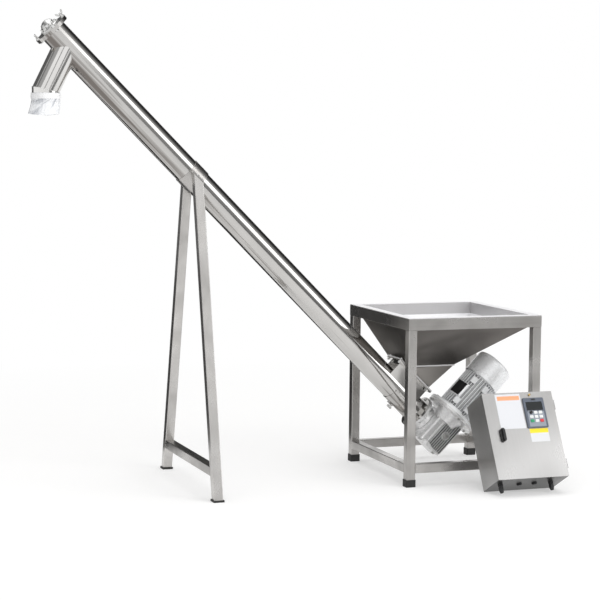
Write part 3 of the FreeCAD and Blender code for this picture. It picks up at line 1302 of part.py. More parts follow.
def box_shell():
    """Open-fronted case with an inward lip, gland holes and hinge knuckles on its right wall."""
    depth = BOX_SHELL_DEPTH
    outer = block(0, BOX_WIDTH, -depth, 0, 0, BOX_HEIGHT)
    outer = fillet_along(outer, V(0, 1, 0), 3)
    inner = block(BOX_SHEET, BOX_WIDTH - BOX_SHEET, -depth + BOX_SHEET, -BOX_SHEET,
                  BOX_SHEET, BOX_HEIGHT - BOX_SHEET)
    mouth = block(BOX_LIP, BOX_WIDTH - BOX_LIP, -depth, 0 - BOX_SHEET, BOX_LIP, BOX_HEIGHT - BOX_LIP)
    body = outer.cut(inner).cut(mouth)
    for x in GLAND_POSITIONS + BLIND_PLUG_POSITIONS:
        body = body.cut(rod(8.0 + SEAT_FIT, 0, BOX_SHEET, x, -GLAND_SETBACK))
    for z0, z1 in door_knuckles(0) + door_knuckles(2):
        body = join([body, door_knuckle(z0, z1, -depth + 14, DOOR_PIN_RADIUS + SEAT_FIT)])
    return in_box(body)


def door_knuckles(which):
    """Heights of one of the three knuckles of each of the two door hinges."""
    spans = []
    for middle in (60.0, BOX_HEIGHT - 60.0):
        z0 = middle + (which - 1.5) * DOOR_KNUCKLE_LENGTH
        spans.append((z0, z0 + DOOR_KNUCKLE_LENGTH - TOUCH_GAP))
    return spans


def door_pin_place():
    return BOX_WIDTH + DOOR_PIN_OFFSET, -BOX_SHELL_DEPTH - DOOR_GAP / 2


def door_knuckle(z0, z1, leaf_end, hole):
    """Knuckle with a leaf that runs back along the side wall to leaf_end."""
    x, y = door_pin_place()
    web = block(BOX_WIDTH - 0.5, BOX_WIDTH + 2, min(y, leaf_end), max(y, leaf_end), z0, z1)
    bridge = block(BOX_WIDTH, x, min(y, leaf_end), max(y, leaf_end), z0, z1)
    near = block(BOX_WIDTH, x, y - 4, y + 4, z0, z1)
    knuckle = join([web, bridge.common(near), rod(DOOR_KNUCKLE_RADIUS, z0, z1, x, y)])
    if leaf_end > y:
        knuckle = knuckle.cut(block(0, BOX_WIDTH + 0.1, y - 6, y + DOOR_GAP / 2, z0, z1))
    else:
        knuckle = knuckle.cut(block(0, BOX_WIDTH + 0.1, y - DOOR_GAP / 2, y + 6, z0, z1))
    return knuckle.cut(rod(hole, z0, z1, x, y))


def box_door():
    """Pan-shaped door with a cut-out for the keypad, a latch hole and its hinge knuckles."""
    front = -BOX_DEPTH
    back = front + DOOR_DEPTH
    pan = fillet_along(block(0, BOX_WIDTH, front, back, 0, BOX_HEIGHT), V(0, 1, 0), 3)
    hollow = block(BOX_SHEET, BOX_WIDTH - BOX_SHEET, front + BOX_SHEET, back,
                   BOX_SHEET, BOX_HEIGHT - BOX_SHEET)
    body = pan.cut(hollow)
    cut = block(KEYPAD_LEFT + 8, KEYPAD_LEFT + KEYPAD_WIDTH - 8, front, back,
                KEYPAD_TOP_Z - KEYPAD_HEIGHT + 8, KEYPAD_TOP_Z - 8)
    body = body.cut(cut)
    body = body.cut(turned(rod(LATCH_SPINDLE_RADIUS + RUN_FIT, -BOX_SHEET, 0), V(1, 0, 0), 90)
                    .translated(V(LATCH_X, front, BOX_HEIGHT - LATCH_DROP)))
    for z0, z1 in door_knuckles(1):
        body = join([body, door_knuckle(z0, z1, front + 3, DOOR_PIN_RADIUS + RUN_FIT)])
    return in_box(body)


def door_gasket():
    """Foam strip between the door and the shell's lip."""
    front = -BOX_DEPTH + BOX_SHEET
    back = -BOX_SHELL_DEPTH - TOUCH_GAP
    edge = BOX_SHEET + 0.5
    outer = block(edge, BOX_WIDTH - edge, front, back, edge, BOX_HEIGHT - edge)
    inner = block(edge + GASKET_WIDTH, BOX_WIDTH - edge - GASKET_WIDTH, front, back,
                  edge + GASKET_WIDTH, BOX_HEIGHT - edge - GASKET_WIDTH)
    return in_box(outer.cut(inner))


def hinge_pins():
    """Pins of the two door hinges and of the clean-out hinge, headed at the top."""
    pieces = []
    x, y = door_pin_place()
    for middle in (60.0, BOX_HEIGHT - 60.0):
        z0 = middle - 1.5 * DOOR_KNUCKLE_LENGTH
        z1 = middle + 1.5 * DOOR_KNUCKLE_LENGTH
        pin = join([rod(DOOR_PIN_RADIUS, z0, z1, x, y), rod(DOOR_KNUCKLE_RADIUS - 1, z1, z1 + 2, x, y)])
        pieces.append(in_box(pin))
    x, y = cover_pin_place()
    end = COVER_START + COVER_LENGTH
    head = rod(COVER_KNUCKLE_RADIUS - 0.8, end, end + 1.5, x, y)
    pin = join([rod(COVER_PIN_RADIUS, COVER_START, end, x, y), head])
    return pieces + [in_tube(pin)]


def facing(shape, x, y, z):
    """Place a shape built along Z so that Z points out of the door's front."""
    return in_box(moved(turned(shape, V(1, 0, 0), 90), x, y, z))


def door_latch():
    """Quarter-turn latch: winged handle, rose, spindle and tongue, unlocked in this place."""
    wing = block(-11, 11, -30, 30, 6, 12)
    wing = fillet_along(wing, V(0, 0, 1), 10.9)
    grip = fillet_along(block(-4.5, 4.5, -27, 27, 10, 20), V(0, 0, 1), 4)
    rose = Part.makeCone(14, 12, 6, V(0, 0, 0.3))
    inside = BOX_DEPTH - BOX_SHELL_DEPTH + BOX_SHEET
    spindle = rod(LATCH_SPINDLE_RADIUS, -inside - 5, 8)
    tongue = fillet_along(block(-7, 7, -54, 9, -inside - 4, -inside - 1), V(0, 0, 1), 5)
    return facing(join([wing, grip, rose, spindle, tongue]), LATCH_X, -BOX_DEPTH, BOX_HEIGHT - LATCH_DROP)


def key_places():
    """Middle of each key on the keypad, by row and column; the first place holds the knob."""
    columns = [KEYPAD_MIDDLE_X + k * KEY_PITCH_X for k in (-1, 0, 1)]
    rows = [KEYPAD_TOP_Z - KEY_TOP_DROP - k * KEY_PITCH_Z for k in range(3)]
    return [(x, z) for z in rows for x in columns]


def keypad_bezel():
    """Moulded front with a display window, key holes and a body behind the door."""
    width, height = KEYPAD_WIDTH, KEYPAD_HEIGHT
    front = -BOX_DEPTH - KEYPAD_PROUD
    x0, z1 = KEYPAD_LEFT, KEYPAD_TOP_Z
    plate = block(x0, x0 + width, front, -BOX_DEPTH, z1 - height, z1)
    plate = fillet_along(plate, V(0, 1, 0), 5)
    rim = [e for e in plate.Edges if all(p.Point.y < front + 0.1 for p in e.Vertexes)]
    plate = plate.makeChamfer(1.5, rim)
    back = block(x0 + 8.2, x0 + width - 8.2, -BOX_DEPTH, -BOX_DEPTH + 22, z1 - height + 8.2, z1 - 8.2)
    body = join([plate, back])
    left = KEYPAD_MIDDLE_X - DISPLAY_WIDTH / 2
    top = z1 - DISPLAY_DROP
    body = body.cut(block(left, left + DISPLAY_WIDTH, front, front + 3, top - DISPLAY_HEIGHT, top))
    places = key_places()
    half_x = KEY_WIDTH / 2 + TOUCH_GAP
    half_z = KEY_HEIGHT / 2 + TOUCH_GAP
    for x, z in places[1:]:
        body = body.cut(block(x - half_x, x + half_x, front, front + 9, z - half_z, z + half_z))
    x, z = places[0]
    body = body.cut(turned(rod(3.0 + RUN_FIT, -12, 0), V(1, 0, 0), 90).translated(V(x, front, z)))
    return in_box(body)


def keypad_display():
    left = KEYPAD_MIDDLE_X - DISPLAY_WIDTH / 2 + SEAT_FIT
    top = KEYPAD_TOP_Z - DISPLAY_DROP - SEAT_FIT
    front = -BOX_DEPTH - KEYPAD_PROUD
    right = left + DISPLAY_WIDTH - 2 * SEAT_FIT
    base = top - DISPLAY_HEIGHT + 2 * SEAT_FIT
    return in_box(block(left, right, front + 1, front + 3, base, top))


def key_button(x, z):
    """Key with a crowned front and a stem with a flange in its hole."""
    front = -BOX_DEPTH - KEYPAD_PROUD
    back = front + 9 - KEY_TRAVEL - TOUCH_GAP
    cap = block(-KEY_WIDTH / 2, KEY_WIDTH / 2, front - 2, back, -KEY_HEIGHT / 2, KEY_HEIGHT / 2)
    cap = fillet_along(cap, V(0, 1, 0), 2)
    rim = [e for e in cap.Edges if all(p.Point.y < front - 1.9 for p in e.Vertexes)]
    cap = cap.makeChamfer(0.8, rim)
    return in_box(moved(cap, x, 0, z))


def speed_knob(x, z):
    knob = spin([(0, -11), (3.0, -11), (3.0, TOUCH_GAP), (KNOB_RADIUS, TOUCH_GAP), (KNOB_RADIUS - 0.6, 7),
                 (KNOB_RADIUS - 1.6, 8), (0, 8)])
    knob = knob.cut(block(-0.7, 0.7, 2, KNOB_RADIUS + 1, 7, 9))
    return facing(knob, x, -BOX_DEPTH - KEYPAD_PROUD, z)


def plate_front():
    return -BOX_SHEET - PLATE_SPACER - BOX_SHEET


def mounting_plate():
    """Plate on four spacers at the back of the control box."""
    front = plate_front()
    plate = block(PLATE_EDGE_X, BOX_WIDTH - PLATE_EDGE_X, front, front + BOX_SHEET,
                  PLATE_EDGE_Z, BOX_HEIGHT - PLATE_EDGE_Z)
    spacer = turned(rod(5, 0, PLATE_SPACER + 0.1), V(1, 0, 0), 90)
    in_x, in_z = PLATE_EDGE_X + 14, PLATE_EDGE_Z + 14
    spacers = [moved(spacer, x, -BOX_SHEET, z)
               for x in (in_x, BOX_WIDTH - in_x) for z in (in_z, BOX_HEIGHT - in_z)]
    return in_box(join([plate] + spacers))


def inverter():
    """Motor inverter: body with side vents and a sloped terminal cover."""
    x1 = BOX_WIDTH - INVERTER_MARGIN
    x0 = x1 - INVERTER_WIDTH
    rear = plate_front()
    front = rear - INVERTER_DEPTH
    base = INVERTER_BASE
    body = fillet_along(block(x0, x1, front, rear, base, base + INVERTER_HEIGHT), V(0, 1, 0), 4)
    for k in range(INVERTER_SLOTS):
        z = base + 30 + INVERTER_SLOT_PITCH * k
        body = body.cut(block(x0 - 1, x0 + 2, front + 20, rear - 20, z, z + 6))
        body = body.cut(block(x1 - 2, x1 + 1, front + 20, rear - 20, z, z + 6))
    low = base - INVERTER_HOOD
    cover = prism([V(x0 + 4, front + 6, base), V(x0 + 4, rear - 16, low), V(x0 + 4, rear, low),
                   V(x0 + 4, rear, base)], V(INVERTER_WIDTH - 8, 0, 0))
    return in_box(join([body, cover]))


def build():
    keep("frame_legs", stand_legs())
    keep("frame_top_rails", top_rails())
    keep("frame_lower_rails", low_rails())
    caps = [moved(leg_cap(), x, y, 0) for x in (0, LEG_PITCH_X) for y in (0, LEG_PITCH_Y)]
    keep("rubber_feet", caps + [support_pad(-1), support_pad(1)])
    keep("hopper", hopper())
    keep("hopper_chute", chute())
    keep("inlet_box", inlet_box())
    keep("conveyor_tube", conveyor_tube())
    keep("tube_fittings", tube_fittings())
    keep("discharge_spout", discharge_spout())
    keep("discharge_sleeve", discharge_sleeve())
    keep("sleeve_strap", sleeve_strap())
    keep("end_plate", end_plate())
    keep("end_bearing_housing", end_housing())
    keep("end_bearing", end_bearing())
    keep("end_wing_bolts", end_wing_bolts())
    keep("cleanout_door", cleanout_door())
    keep("cleanout_latch", cleanout_latch())
    keep("hinge_pins", hinge_pins())
    keep("screw_shaft", screw_shaft())
    keep("screw_flight", screw_flight())
    keep("support_legs", [support_leg(-1), support_leg(1)])
    keep("support_crossbar", support_bar())
    keep("support_saddle", clamp_half(-1))
    keep("support_clamp", clamp_half(1))
    keep("support_bolts", support_bolts())
    keep("gearbox_housing", gearbox_housing())
    keep("gearbox_cover", gearbox_cover())
    keep("gearbox_plugs", gearbox_plugs())
    keep("drive_bearings", drive_bearings())
    keep("shaft_seals", shaft_seals())
    keep("worm_wheel", worm_wheel())
    keep("worm_shaft", worm_shaft())
    keep("flange_bolts", inlet_bolts() + drive_bolts())
    keep("motor_housing", motor_housing())
    keep("motor_end_bells", motor_end_bells())
    keep("motor_stator", motor_stator())
    keep("motor_rotor", motor_rotor())
    keep("cooling_fan", cooling_fan())
    keep("motor_fan_cowl", motor_fan_cowl())
    keep("motor_terminal_box", terminal_box())
    keep("motor_terminal_lid", terminal_lid())
    keep("cable_glands", cable_glands())
    keep("control_box_shell", box_shell())
    keep("control_box_door", box_door())
    keep("door_gasket", door_gasket())
    keep("door_latch", door_latch())
    keep("mounting_plate", mounting_plate())
    keep("inverter", inverter())
    keep("keypad_bezel", keypad_bezel())
    keep("keypad_display", keypad_display())
    places = key_places()
    keep("speed_knob", speed_knob(*places[0]))
    names = ("menu_key", "enter_key", "shift_key", "down_key", "up_key", "run_key", "jog_key", "stop_key")
    for name, place in zip(names, places[1:]):
        keep(name, key_button(*place))


def write():
    os.makedirs("parts", exist_ok=True)
    for name, solids in NODES.items():
        shape = solids[0] if len(solids) == 1 else Part.makeCompound(solids)
        shape.exportStep(os.path.join("parts", name + ".step"))


build()
write()
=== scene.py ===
import math

import bpy
import numpy as np
from mathutils import Matrix


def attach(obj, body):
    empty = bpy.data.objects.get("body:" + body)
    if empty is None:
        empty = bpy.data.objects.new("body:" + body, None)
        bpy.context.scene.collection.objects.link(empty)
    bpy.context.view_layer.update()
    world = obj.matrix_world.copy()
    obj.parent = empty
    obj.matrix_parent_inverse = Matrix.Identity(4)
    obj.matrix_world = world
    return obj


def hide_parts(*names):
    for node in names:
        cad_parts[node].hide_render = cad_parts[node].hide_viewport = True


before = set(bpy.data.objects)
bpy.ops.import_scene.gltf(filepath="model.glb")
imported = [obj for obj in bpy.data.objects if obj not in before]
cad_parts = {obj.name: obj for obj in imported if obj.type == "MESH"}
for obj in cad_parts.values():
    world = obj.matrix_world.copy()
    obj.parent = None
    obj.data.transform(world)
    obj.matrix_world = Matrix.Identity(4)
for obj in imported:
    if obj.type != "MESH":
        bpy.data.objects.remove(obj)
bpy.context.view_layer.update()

# Places in the shared frame, in metres. A frame is (origin, X, Y, Z), as in the model.
S45 = math.sqrt(0.5)
TUBE = np.array([[0.1749, 0.33, 0.2727], [S45, 0, S45], [0, 1, 0], [-S45, 0, S45]])
MOTOR = np.array([[0.244196, 0.255, 0.203404], [S45, 0, -S45], [0, 1, 0], [S45, 0, S45]])
LEAN = math.radians(28.5)
BOX = np.array([[0.262, -0.206392, 0], [1, 0, 0], [0, math.cos(LEAN), -math.sin(LEAN)],
                [0, math.sin(LEAN), math.cos(LEAN)]])
BOX_H, BOX_D = 0.390, 0.165
KEYPAD_PROUD = 0.006
STAND_HALF_X, STAND_HALF_Y = 0.30, 0.33
TUBE_R = 0.057
SPOUT_R = 0.054
STUB_R = 0.058
SPOUT_LEAN = math.radians(26)
SPOUT_STATION = 2.288
SPOUT_LENGTH = 0.207
SPOUT_START = TUBE[0] + TUBE[3] * SPOUT_STATION
SPOUT_DOWN = np.array([-math.sin(SPOUT_LEAN), 0, -math.cos(SPOUT_LEAN)])
SPOUT_JOINT = SPOUT_START + SPOUT_DOWN * SPOUT_LENGTH


def place(points, where):
    """Points given in one of the frames, in the shared frame: origin + x X + y Y + z Z."""
    p = np.asarray(points, float)
    return where[0] + p[..., :1] * where[1] + p[..., 1:2] * where[2] + p[..., 2:3] * where[3]


# Camera, solved from the photograph: the picture's width and the focal length in pixels, then how the camera
# is turned and where it stands
PICTURE_WIDTH = 600
FOCAL_LENGTH = 1818.97
SENSOR = 36
CAMERA_RIGHT = (0.940744, -0.338976, 0.009789)
CAMERA_UP = (0.021991, 0.089785, 0.995718)
CAMERA_BACK = (-0.338403, -0.936501, 0.091919)
CAMERA_SPOT = (-3.1242, -7.2186, 1.5397)


def placed(columns):
    """Matrix of an object from its X, Y and Z directions and its place."""
    return Matrix([[float(column[k]) for column in columns] for k in range(3)] + [[0, 0, 0, 1]])


def camera():
    """Long lens at the photograph's viewing angle."""
    data = bpy.data.cameras.new("camera")
    data.sensor_width = SENSOR
    data.lens = FOCAL_LENGTH / PICTURE_WIDTH * SENSOR
    data.clip_end = 100
    eye = bpy.data.objects.new("camera", data)
    eye.matrix_world = placed((CAMERA_RIGHT, CAMERA_UP, CAMERA_BACK, CAMERA_SPOT))
    bpy.context.collection.objects.link(eye)
    bpy.context.scene.camera = eye


camera()


# Shader node helpers

def node(tree, kind, inputs=None, **settings):
    """One node, its settings as attributes and its inputs as numbers, colours or sockets."""
    n = tree.nodes.new(kind)
    for key, value in settings.items():
        setattr(n, key, value)
    for key, value in (inputs or {}).items():
        if isinstance(value, bpy.types.NodeSocket):
            tree.links.new(value, n.inputs[key])
        else:
            n.inputs[key].default_value = value
    return n


def maths(tree, operation, a, b=0.0, **settings):
    """Result of one operation on two values."""
    return node(tree, "ShaderNodeMath", {0: a, 1: b}, operation=operation, **settings).outputs[0]


def times(tree, product, *others):
    """Product of two or more values."""
    for other in others:
        product = maths(tree, "MULTIPLY", product, other)
    return product


def shared(tree, a, b, share):
    """A share of one value, between 0 and 1, and the rest of another."""
    return maths(tree, "ADD", times(tree, a, share), times(tree, b, 1 - share))


def between(tree, value, low, high, to_low=0.0, to_high=1.0):
    """How far a value has gone from low to high, held at both ends and carried to another range."""
    return node(tree, "ShaderNodeMapRange", {"Value": value, "From Min": low, "From Max": high,
                                             "To Min": to_low, "To Max": to_high}).outputs[0]


def within(tree, value, reach):
    """1 where a value lies inside its reach, else 0."""
    above = maths(tree, "GREATER_THAN", value, reach[0])
    below = maths(tree, "LESS_THAN", value, reach[1])
    return times(tree, above, below)


def softly_within(tree, value, reach, edge):
    """1 where a value lies inside its reach, falling to 0 across each end over twice the edge."""
    return times(tree, between(tree, value, reach[0] - edge, reach[0] + edge),
                 between(tree, value, reach[1] + edge, reach[1] - edge))


def mixed(tree, factor, a, b):
    """Colour that goes from a to b as the factor goes from 0 to 1; each is a socket or three numbers."""
    a, b = ((*end, 1.0) if isinstance(end, tuple) else end for end in (a, b))
    return node(tree, "ShaderNodeMix", {0: factor, 6: a, 7: b}, data_type="RGBA").outputs[2]


def either(tree, choice, a, b):
    """Value a where the choice is 0 and b where it is 1."""
    return node(tree, "ShaderNodeMix", {0: choice, 2: a, 3: b}).outputs[0]


def noise(tree, vector, scale, detail, roughness=0.5, distortion=0.0):
    """Cloudy value, its clouds smaller the larger the scale."""
    return node(tree, "ShaderNodeTexNoise", {"Vector": vector, "Scale": scale, "Detail": detail,
                                             "Roughness": roughness, "Distortion": distortion}).outputs[0]


def stretched(tree, vector, factors):
    """Vector with each part multiplied by its own factor."""
    return node(tree, "ShaderNodeVectorMath", {0: vector, 1: factors}, operation="MULTIPLY").outputs[0]


def parts(tree, vector):
    """X, Y and Z of a vector."""
    return node(tree, "ShaderNodeSeparateXYZ", {0: vector}).outputs


def facing(tree):
    """X, Y and Z of the direction that the surface faces in the room."""
    return parts(tree, node(tree, "ShaderNodeNewGeometry").outputs["Normal"])


def coordinates(tree, where=None):
    """Place on the object, in the shared frame or in the one given."""
    out = node(tree, "ShaderNodeTexCoord").outputs["Object"]
    if where is None:
        return out
    turn = Matrix([[where[k + 1][r] for k in range(3)] for r in range(3)]).to_euler()
    back = {"Vector": out, "Location": tuple(where[0]), "Rotation": tuple(turn)}
    return node(tree, "ShaderNodeMapping", back, vector_type="TEXTURE").outputs[0]


def new_group(name, inputs, outputs):
    """Empty shader group with named sockets; an input is (name, kind, value)."""
    tree = bpy.data.node_groups.new(name, "ShaderNodeTree")
    for label, kind, value in inputs:
        socket = tree.interface.new_socket(label, in_out="INPUT", socket_type="NodeSocket" + kind)
        if value is not None:
            socket.default_value = value
    for label in outputs:
        tree.interface.new_socket(label, in_out="OUTPUT", socket_type="NodeSocketFloat")
    return tree, tree.nodes.new("NodeGroupInput").outputs, tree.nodes.new("NodeGroupOutput").inputs


def grain_group():
    """Brushed grain: noise drawn out along one axis, in two sizes, with slow stains over it."""
    tree, i, o = new_group("brushed grain",
                           [("Vector", "Vector", None), ("Stretch", "Vector", (900, 900, 12)),
                            ("Contrast", "Float", 0.5)],
                           ("Fine", "Stain", "Height"))
    drawn = stretched(tree, i["Vector"], i["Stretch"])
    fine = noise(tree, drawn, 1.0, 3.0, 0.6)
    broad = noise(tree, stretched(tree, drawn, (0.12, 0.12, 0.12)), 1.0, 2.0)
    stain = noise(tree, i["Vector"], 7.0, 1.5, distortion=0.4)
    both = shared(tree, fine, broad, 0.6)
    spread = times(tree, maths(tree, "SUBTRACT", both, 0.5), i["Contrast"])
    tree.links.new(maths(tree, "ADD", spread, 0.5, use_clamp=True), o["Fine"])
    tree.links.new(between(tree, stain, 0.32, 0.68), o["Stain"])
    tree.links.new(both, o["Height"])
    return tree


def cast_group():
    """Die-cast skin: small pits, soft waviness and darker flow marks."""
    tree, i, o = new_group("cast skin", [("Vector", "Vector", None)], ("Pits", "Flow", "Height"))
    pits = noise(tree, i["Vector"], 900.0, 3.0, 0.7)
    flow = noise(tree, i["Vector"], 28.0, 4.0, 0.6, 1.2)
    lumps = noise(tree, i["Vector"], 120.0, 2.0)
    tree.links.new(between(tree, pits, 0.35, 0.65), o["Pits"])
    tree.links.new(between(tree, flow, 0.3, 0.7), o["Flow"])
    tree.links.new(maths(tree, "ADD", times(tree, pits, 0.5), lumps), o["Height"])
    return tree


def moulded_group():
    """Moulded plastic or rubber: fine spark-eroded grain with faint dust."""
    tree, i, o = new_group("moulded skin", [("Vector", "Vector", None), ("Grain", "Float", 1500.0)],
                           ("Grain", "Dust"))
    grain = node(tree, "ShaderNodeTexVoronoi", {"Vector": i["Vector"], "Scale": i["Grain"]})
    dust = noise(tree, i["Vector"], 60.0, 5.0, 0.7)
    tree.links.new(grain.outputs[0], o["Grain"])
    tree.links.new(between(tree, dust, 0.45, 0.75), o["Dust"])
    return tree


GRAIN = grain_group()
CAST = cast_group()
MOULDED = moulded_group()


def use(tree, group, **inputs):
    """Outputs of a group that is put into a material."""
    return node(tree, "ShaderNodeGroup", inputs, node_tree=group).outputs


# Surfaces

def surface_material(name, **plain):
    """Material with one Principled shader whose constant inputs are set on its own sockets."""
    m = bpy.data.materials.new(name)
    m.use_nodes = True
    tree = m.node_tree
    shader = tree.nodes["Principled BSDF"]
    for key, value in plain.items():
        shader.inputs[key.replace("_", " ")].default_value = value
    return m, tree, shader


def bump(tree, shader, height, strength, distance):
    """Relief of the given distance on a shader's normal."""
    n = node(tree, "ShaderNodeBump", {"Height": height, "Strength": strength, "Distance": distance})
    tree.links.new(n.outputs[0], shader.inputs["Normal"])


def finish(tree, shader, colour, tone, rough, height, depth, distance=0.0004):
    """Colour, relief, and a roughness from the second number to the first as the tone goes from 0 to 1."""
    tree.links.new(colour, shader.inputs["Base Color"])
    tree.links.new(between(tree, tone, 0.0, 1.0, rough[1], rough[0]), shader.inputs["Roughness"])
    bump(tree, shader, height, depth, distance)


def brushed(name, where, stretch, light, dark, rough, contrast, depth=0.15):
    """Stainless steel with a grain along the axis of smallest stretch."""
    m, tree, shader = surface_material(name, Metallic=1.0)
    g = use(tree, GRAIN, Vector=coordinates(tree, where), Stretch=stretch, Contrast=contrast)
    tone = shared(tree, g["Fine"], g["Stain"], 0.55)
    finish(tree, shader, mixed(tree, tone, dark, light), tone, rough, g["Height"], depth)
    return m


def box_steel(name, light, dark):
    """Brushed sheet with slow clouds in its finish; painted shade makes it darker where it faces the floor or
    the left.
    """
    m, tree, shader = surface_material(name, Metallic=1.0)
    v = coordinates(tree, BOX)
    g = use(tree, GRAIN, Vector=v, Stretch=(1400, 1400, 14), Contrast=0.8)
    slow = noise(tree, v, 4.0, 0.5, distortion=0.2)
    tone = shared(tree, g["Fine"], between(tree, slow, 0.25, 0.75), 0.35)
    to_right, _, upward = facing(tree)
    # Painted shade: the colour is scaled down on faces turned to the floor and on faces turned to the left.
    under = between(tree, upward, -0.3, -0.6, 1.0, 0.28)
    left = between(tree, to_right, -0.5, -0.9, 1.0, 0.72)
    lit = {0: mixed(tree, tone, dark, light), "Scale": times(tree, under, left)}
    shade = node(tree, "ShaderNodeVectorMath", lit, operation="SCALE").outputs[0]
    finish(tree, shader, shade, tone, (0.24, 0.38), g["Height"], 0.04)
    return m


def hopper_steel(name, light, dark, inside):
    """Rolled sheet, painted light and shade by the way it faces: dull dark metal with slow smudges where it
    faces down, a painted shade, and pale and not metallic where it faces up, a painted light."""
    m, tree, shader = surface_material(name)
    v = coordinates(tree)
    g = use(tree, GRAIN, Vector=v, Stretch=(260, 260, 14), Contrast=0.5)
    slow = noise(tree, v, 3.2, 2.0, distortion=0.8)
    tone = shared(tree, g["Fine"], between(tree, slow, 0.35, 0.65), 0.35)
    # Painted light and shade: faces turned up take the pale colour and lose their metal; faces turned down
    # keep the dark metal.
    upward_painted_light = between(tree, facing(tree)[2], -0.2, 0.2)
    colour = mixed(tree, upward_painted_light, mixed(tree, tone, dark, light), inside)
    tree.links.new(between(tree, upward_painted_light, 0.0, 1.0, 1.0, 0.0), shader.inputs["Metallic"])
    finish(tree, shader, colour, tone, (0.28, 0.42), g["Height"], 0.12)
    return m


def streaked(name, light, dark, reflection_dark):
    """Polished tube: drawn grain, and painted reflections in its colour: thin dull marks on its lower side,
    and a broad tinted streak along its upper half, 40 mm to the lower side of its axis."""
    m, tree, shader = surface_material(name, Metallic=1.0)
    v = coordinates(tree, TUBE)
    g = use(tree, GRAIN, Vector=v, Stretch=(500, 500, 3), Contrast=0.6)
    tone = shared(tree, g["Fine"], g["Stain"], 0.7)
    long = noise(tree, stretched(tree, v, (60, 60, 1.4)), 1.0, 3.0, distortion=0.25)
    x, _, z = parts(tree, v)
    middle, solid_to, fades_by = -0.040, 0.007, 0.017
    off = maths(tree, "ABSOLUTE", maths(tree, "SUBTRACT", x, middle))
    band = times(tree, between(tree, off, fades_by, solid_to), between(tree, z, 1.1, 1.8))
    broad = times(tree, band, between(tree, long, 0.30, 0.46))
    lower_side = between(tree, x, 0.004, -0.020, 0.0, 0.55)
    thin = times(tree, between(tree, long, 0.54, 0.60), lower_side)
    # Painted reflection: dark streaks that stand for reflected surroundings, mixed into the colour at fixed
    # places on the tube.
    painted_reflection = maths(tree, "MAXIMUM", times(tree, broad, 0.9), thin)
    colour = mixed(tree, painted_reflection, mixed(tree, tone, dark, light), reflection_dark)
    finish(tree, shader, colour, tone, (0.07, 0.15), g["Height"], 0.03)
    return m


def rail_steel(name, light, dark):
    """Stand rails: the grain follows each rail, chosen by which side of the mitre a point lies on."""
    m, tree, shader = surface_material(name, Metallic=1.0)
    v = coordinates(tree)
    x, y, _ = parts(tree, v)
    from_end = maths(tree, "ABSOLUTE", maths(tree, "SUBTRACT", x, STAND_HALF_X))
    from_side = maths(tree, "ABSOLUTE", maths(tree, "SUBTRACT", y, STAND_HALF_Y))
    wider = STAND_HALF_Y - STAND_HALF_X
    along_x = maths(tree, "GREATER_THAN", maths(tree, "SUBTRACT", from_side, wider), from_end)
    gx = use(tree, GRAIN, Vector=v, Stretch=(10, 800, 800), Contrast=0.7)
    gy = use(tree, GRAIN, Vector=v, Stretch=(800, 10, 800), Contrast=0.7)
    fine = either(tree, along_x, gy["Fine"], gx["Fine"])
    height = either(tree, along_x, gy["Height"], gx["Height"])
    tone = shared(tree, fine, gx["Stain"], 0.55)
    finish(tree, shader, mixed(tree, tone, dark, light), tone, (0.22, 0.36), height, 0.15)
    return m


def between_ribs(tree):
    """Depth of a point between the ribs on the gearbox's front, for their painted shade: 0 at their crests
    and 1 at the bottom.
    """
    crests, bottom = -0.1125, -0.1075
    width, front, height = (-0.080, 0.072), (-0.2, -0.103), (-0.175, -0.096)
    x, y, z = parts(tree, coordinates(tree, TUBE))
    return times(tree, between(tree, y, crests, bottom), within(tree, x, width), within(tree, y, front),
                 within(tree, z, height))


def between_fins(tree):
    """Depth of a point between the motor's fins, by its distance from the axis, for their painted shade: 0 at
    their crests and 1 at the bottom."""
    crests, bottom, length = 0.0795, 0.0735, (0.119, 0.295)
    x, y, z = parts(tree, coordinates(tree, MOTOR))
    flat = node(tree, "ShaderNodeCombineXYZ", {0: x, 1: y}).outputs[0]
    radius = node(tree, "ShaderNodeVectorMath", {0: flat}, operation="LENGTH").outputs["Value"]
    return times(tree, between(tree, radius, crests, bottom), within(tree, z, length))


def cast_metal(name, light, dark, rough, metallic, depth=0.35, hollows=None, recess_shade=1.0):
    """Cast or painted metal; where the function for its hollows gives 1, painted shade makes it black by the
    given share.
    """
    m, tree, shader = surface_material(name, Metallic=metallic)
    c = use(tree, CAST, Vector=coordinates(tree))
    tone = shared(tree, c["Flow"], c["Pits"], 0.55)
    colour = mixed(tree, tone, dark, light)
    if hollows is not None:
        # Painted shade: the colour in the hollows goes towards black.
        colour = mixed(tree, times(tree, hollows(tree), recess_shade), colour, grey(0.012))
    finish(tree, shader, colour, tone, rough, c["Height"], depth, 0.0005)
    return m


def key_field(tree):
    """1 on the part of the keypad's front that lies round the keys, else 0."""
    across, along, edge = (0.197, 0.276), (BOX_H - 0.161, BOX_H - 0.093), 0.001
    x, y, z = parts(tree, coordinates(tree, BOX))
    front = maths(tree, "LESS_THAN", y, -BOX_D - edge)
    return times(tree, front, softly_within(tree, x, across, edge), softly_within(tree, z, along, edge))


def moulded(name, colour, dusty, rough, depth=0.2, grain=1500.0, field=None, other=None):
    """Moulded plastic or rubber, duller and of the dusty colour where dust lies; where the function for its
    field gives 1, most of its colour is the other one."""
    m, tree, shader = surface_material(name)
    clean, dulled = rough
    p = use(tree, MOULDED, Vector=coordinates(tree), Grain=grain)
    shade = mixed(tree, times(tree, p["Dust"], 0.6), colour, dusty)
    if field is not None:
        shade = mixed(tree, times(tree, field(tree), 0.8), shade, other)
    finish(tree, shader, shade, p["Dust"], (dulled, clean), p["Grain"], depth, 0.0002)
    return m


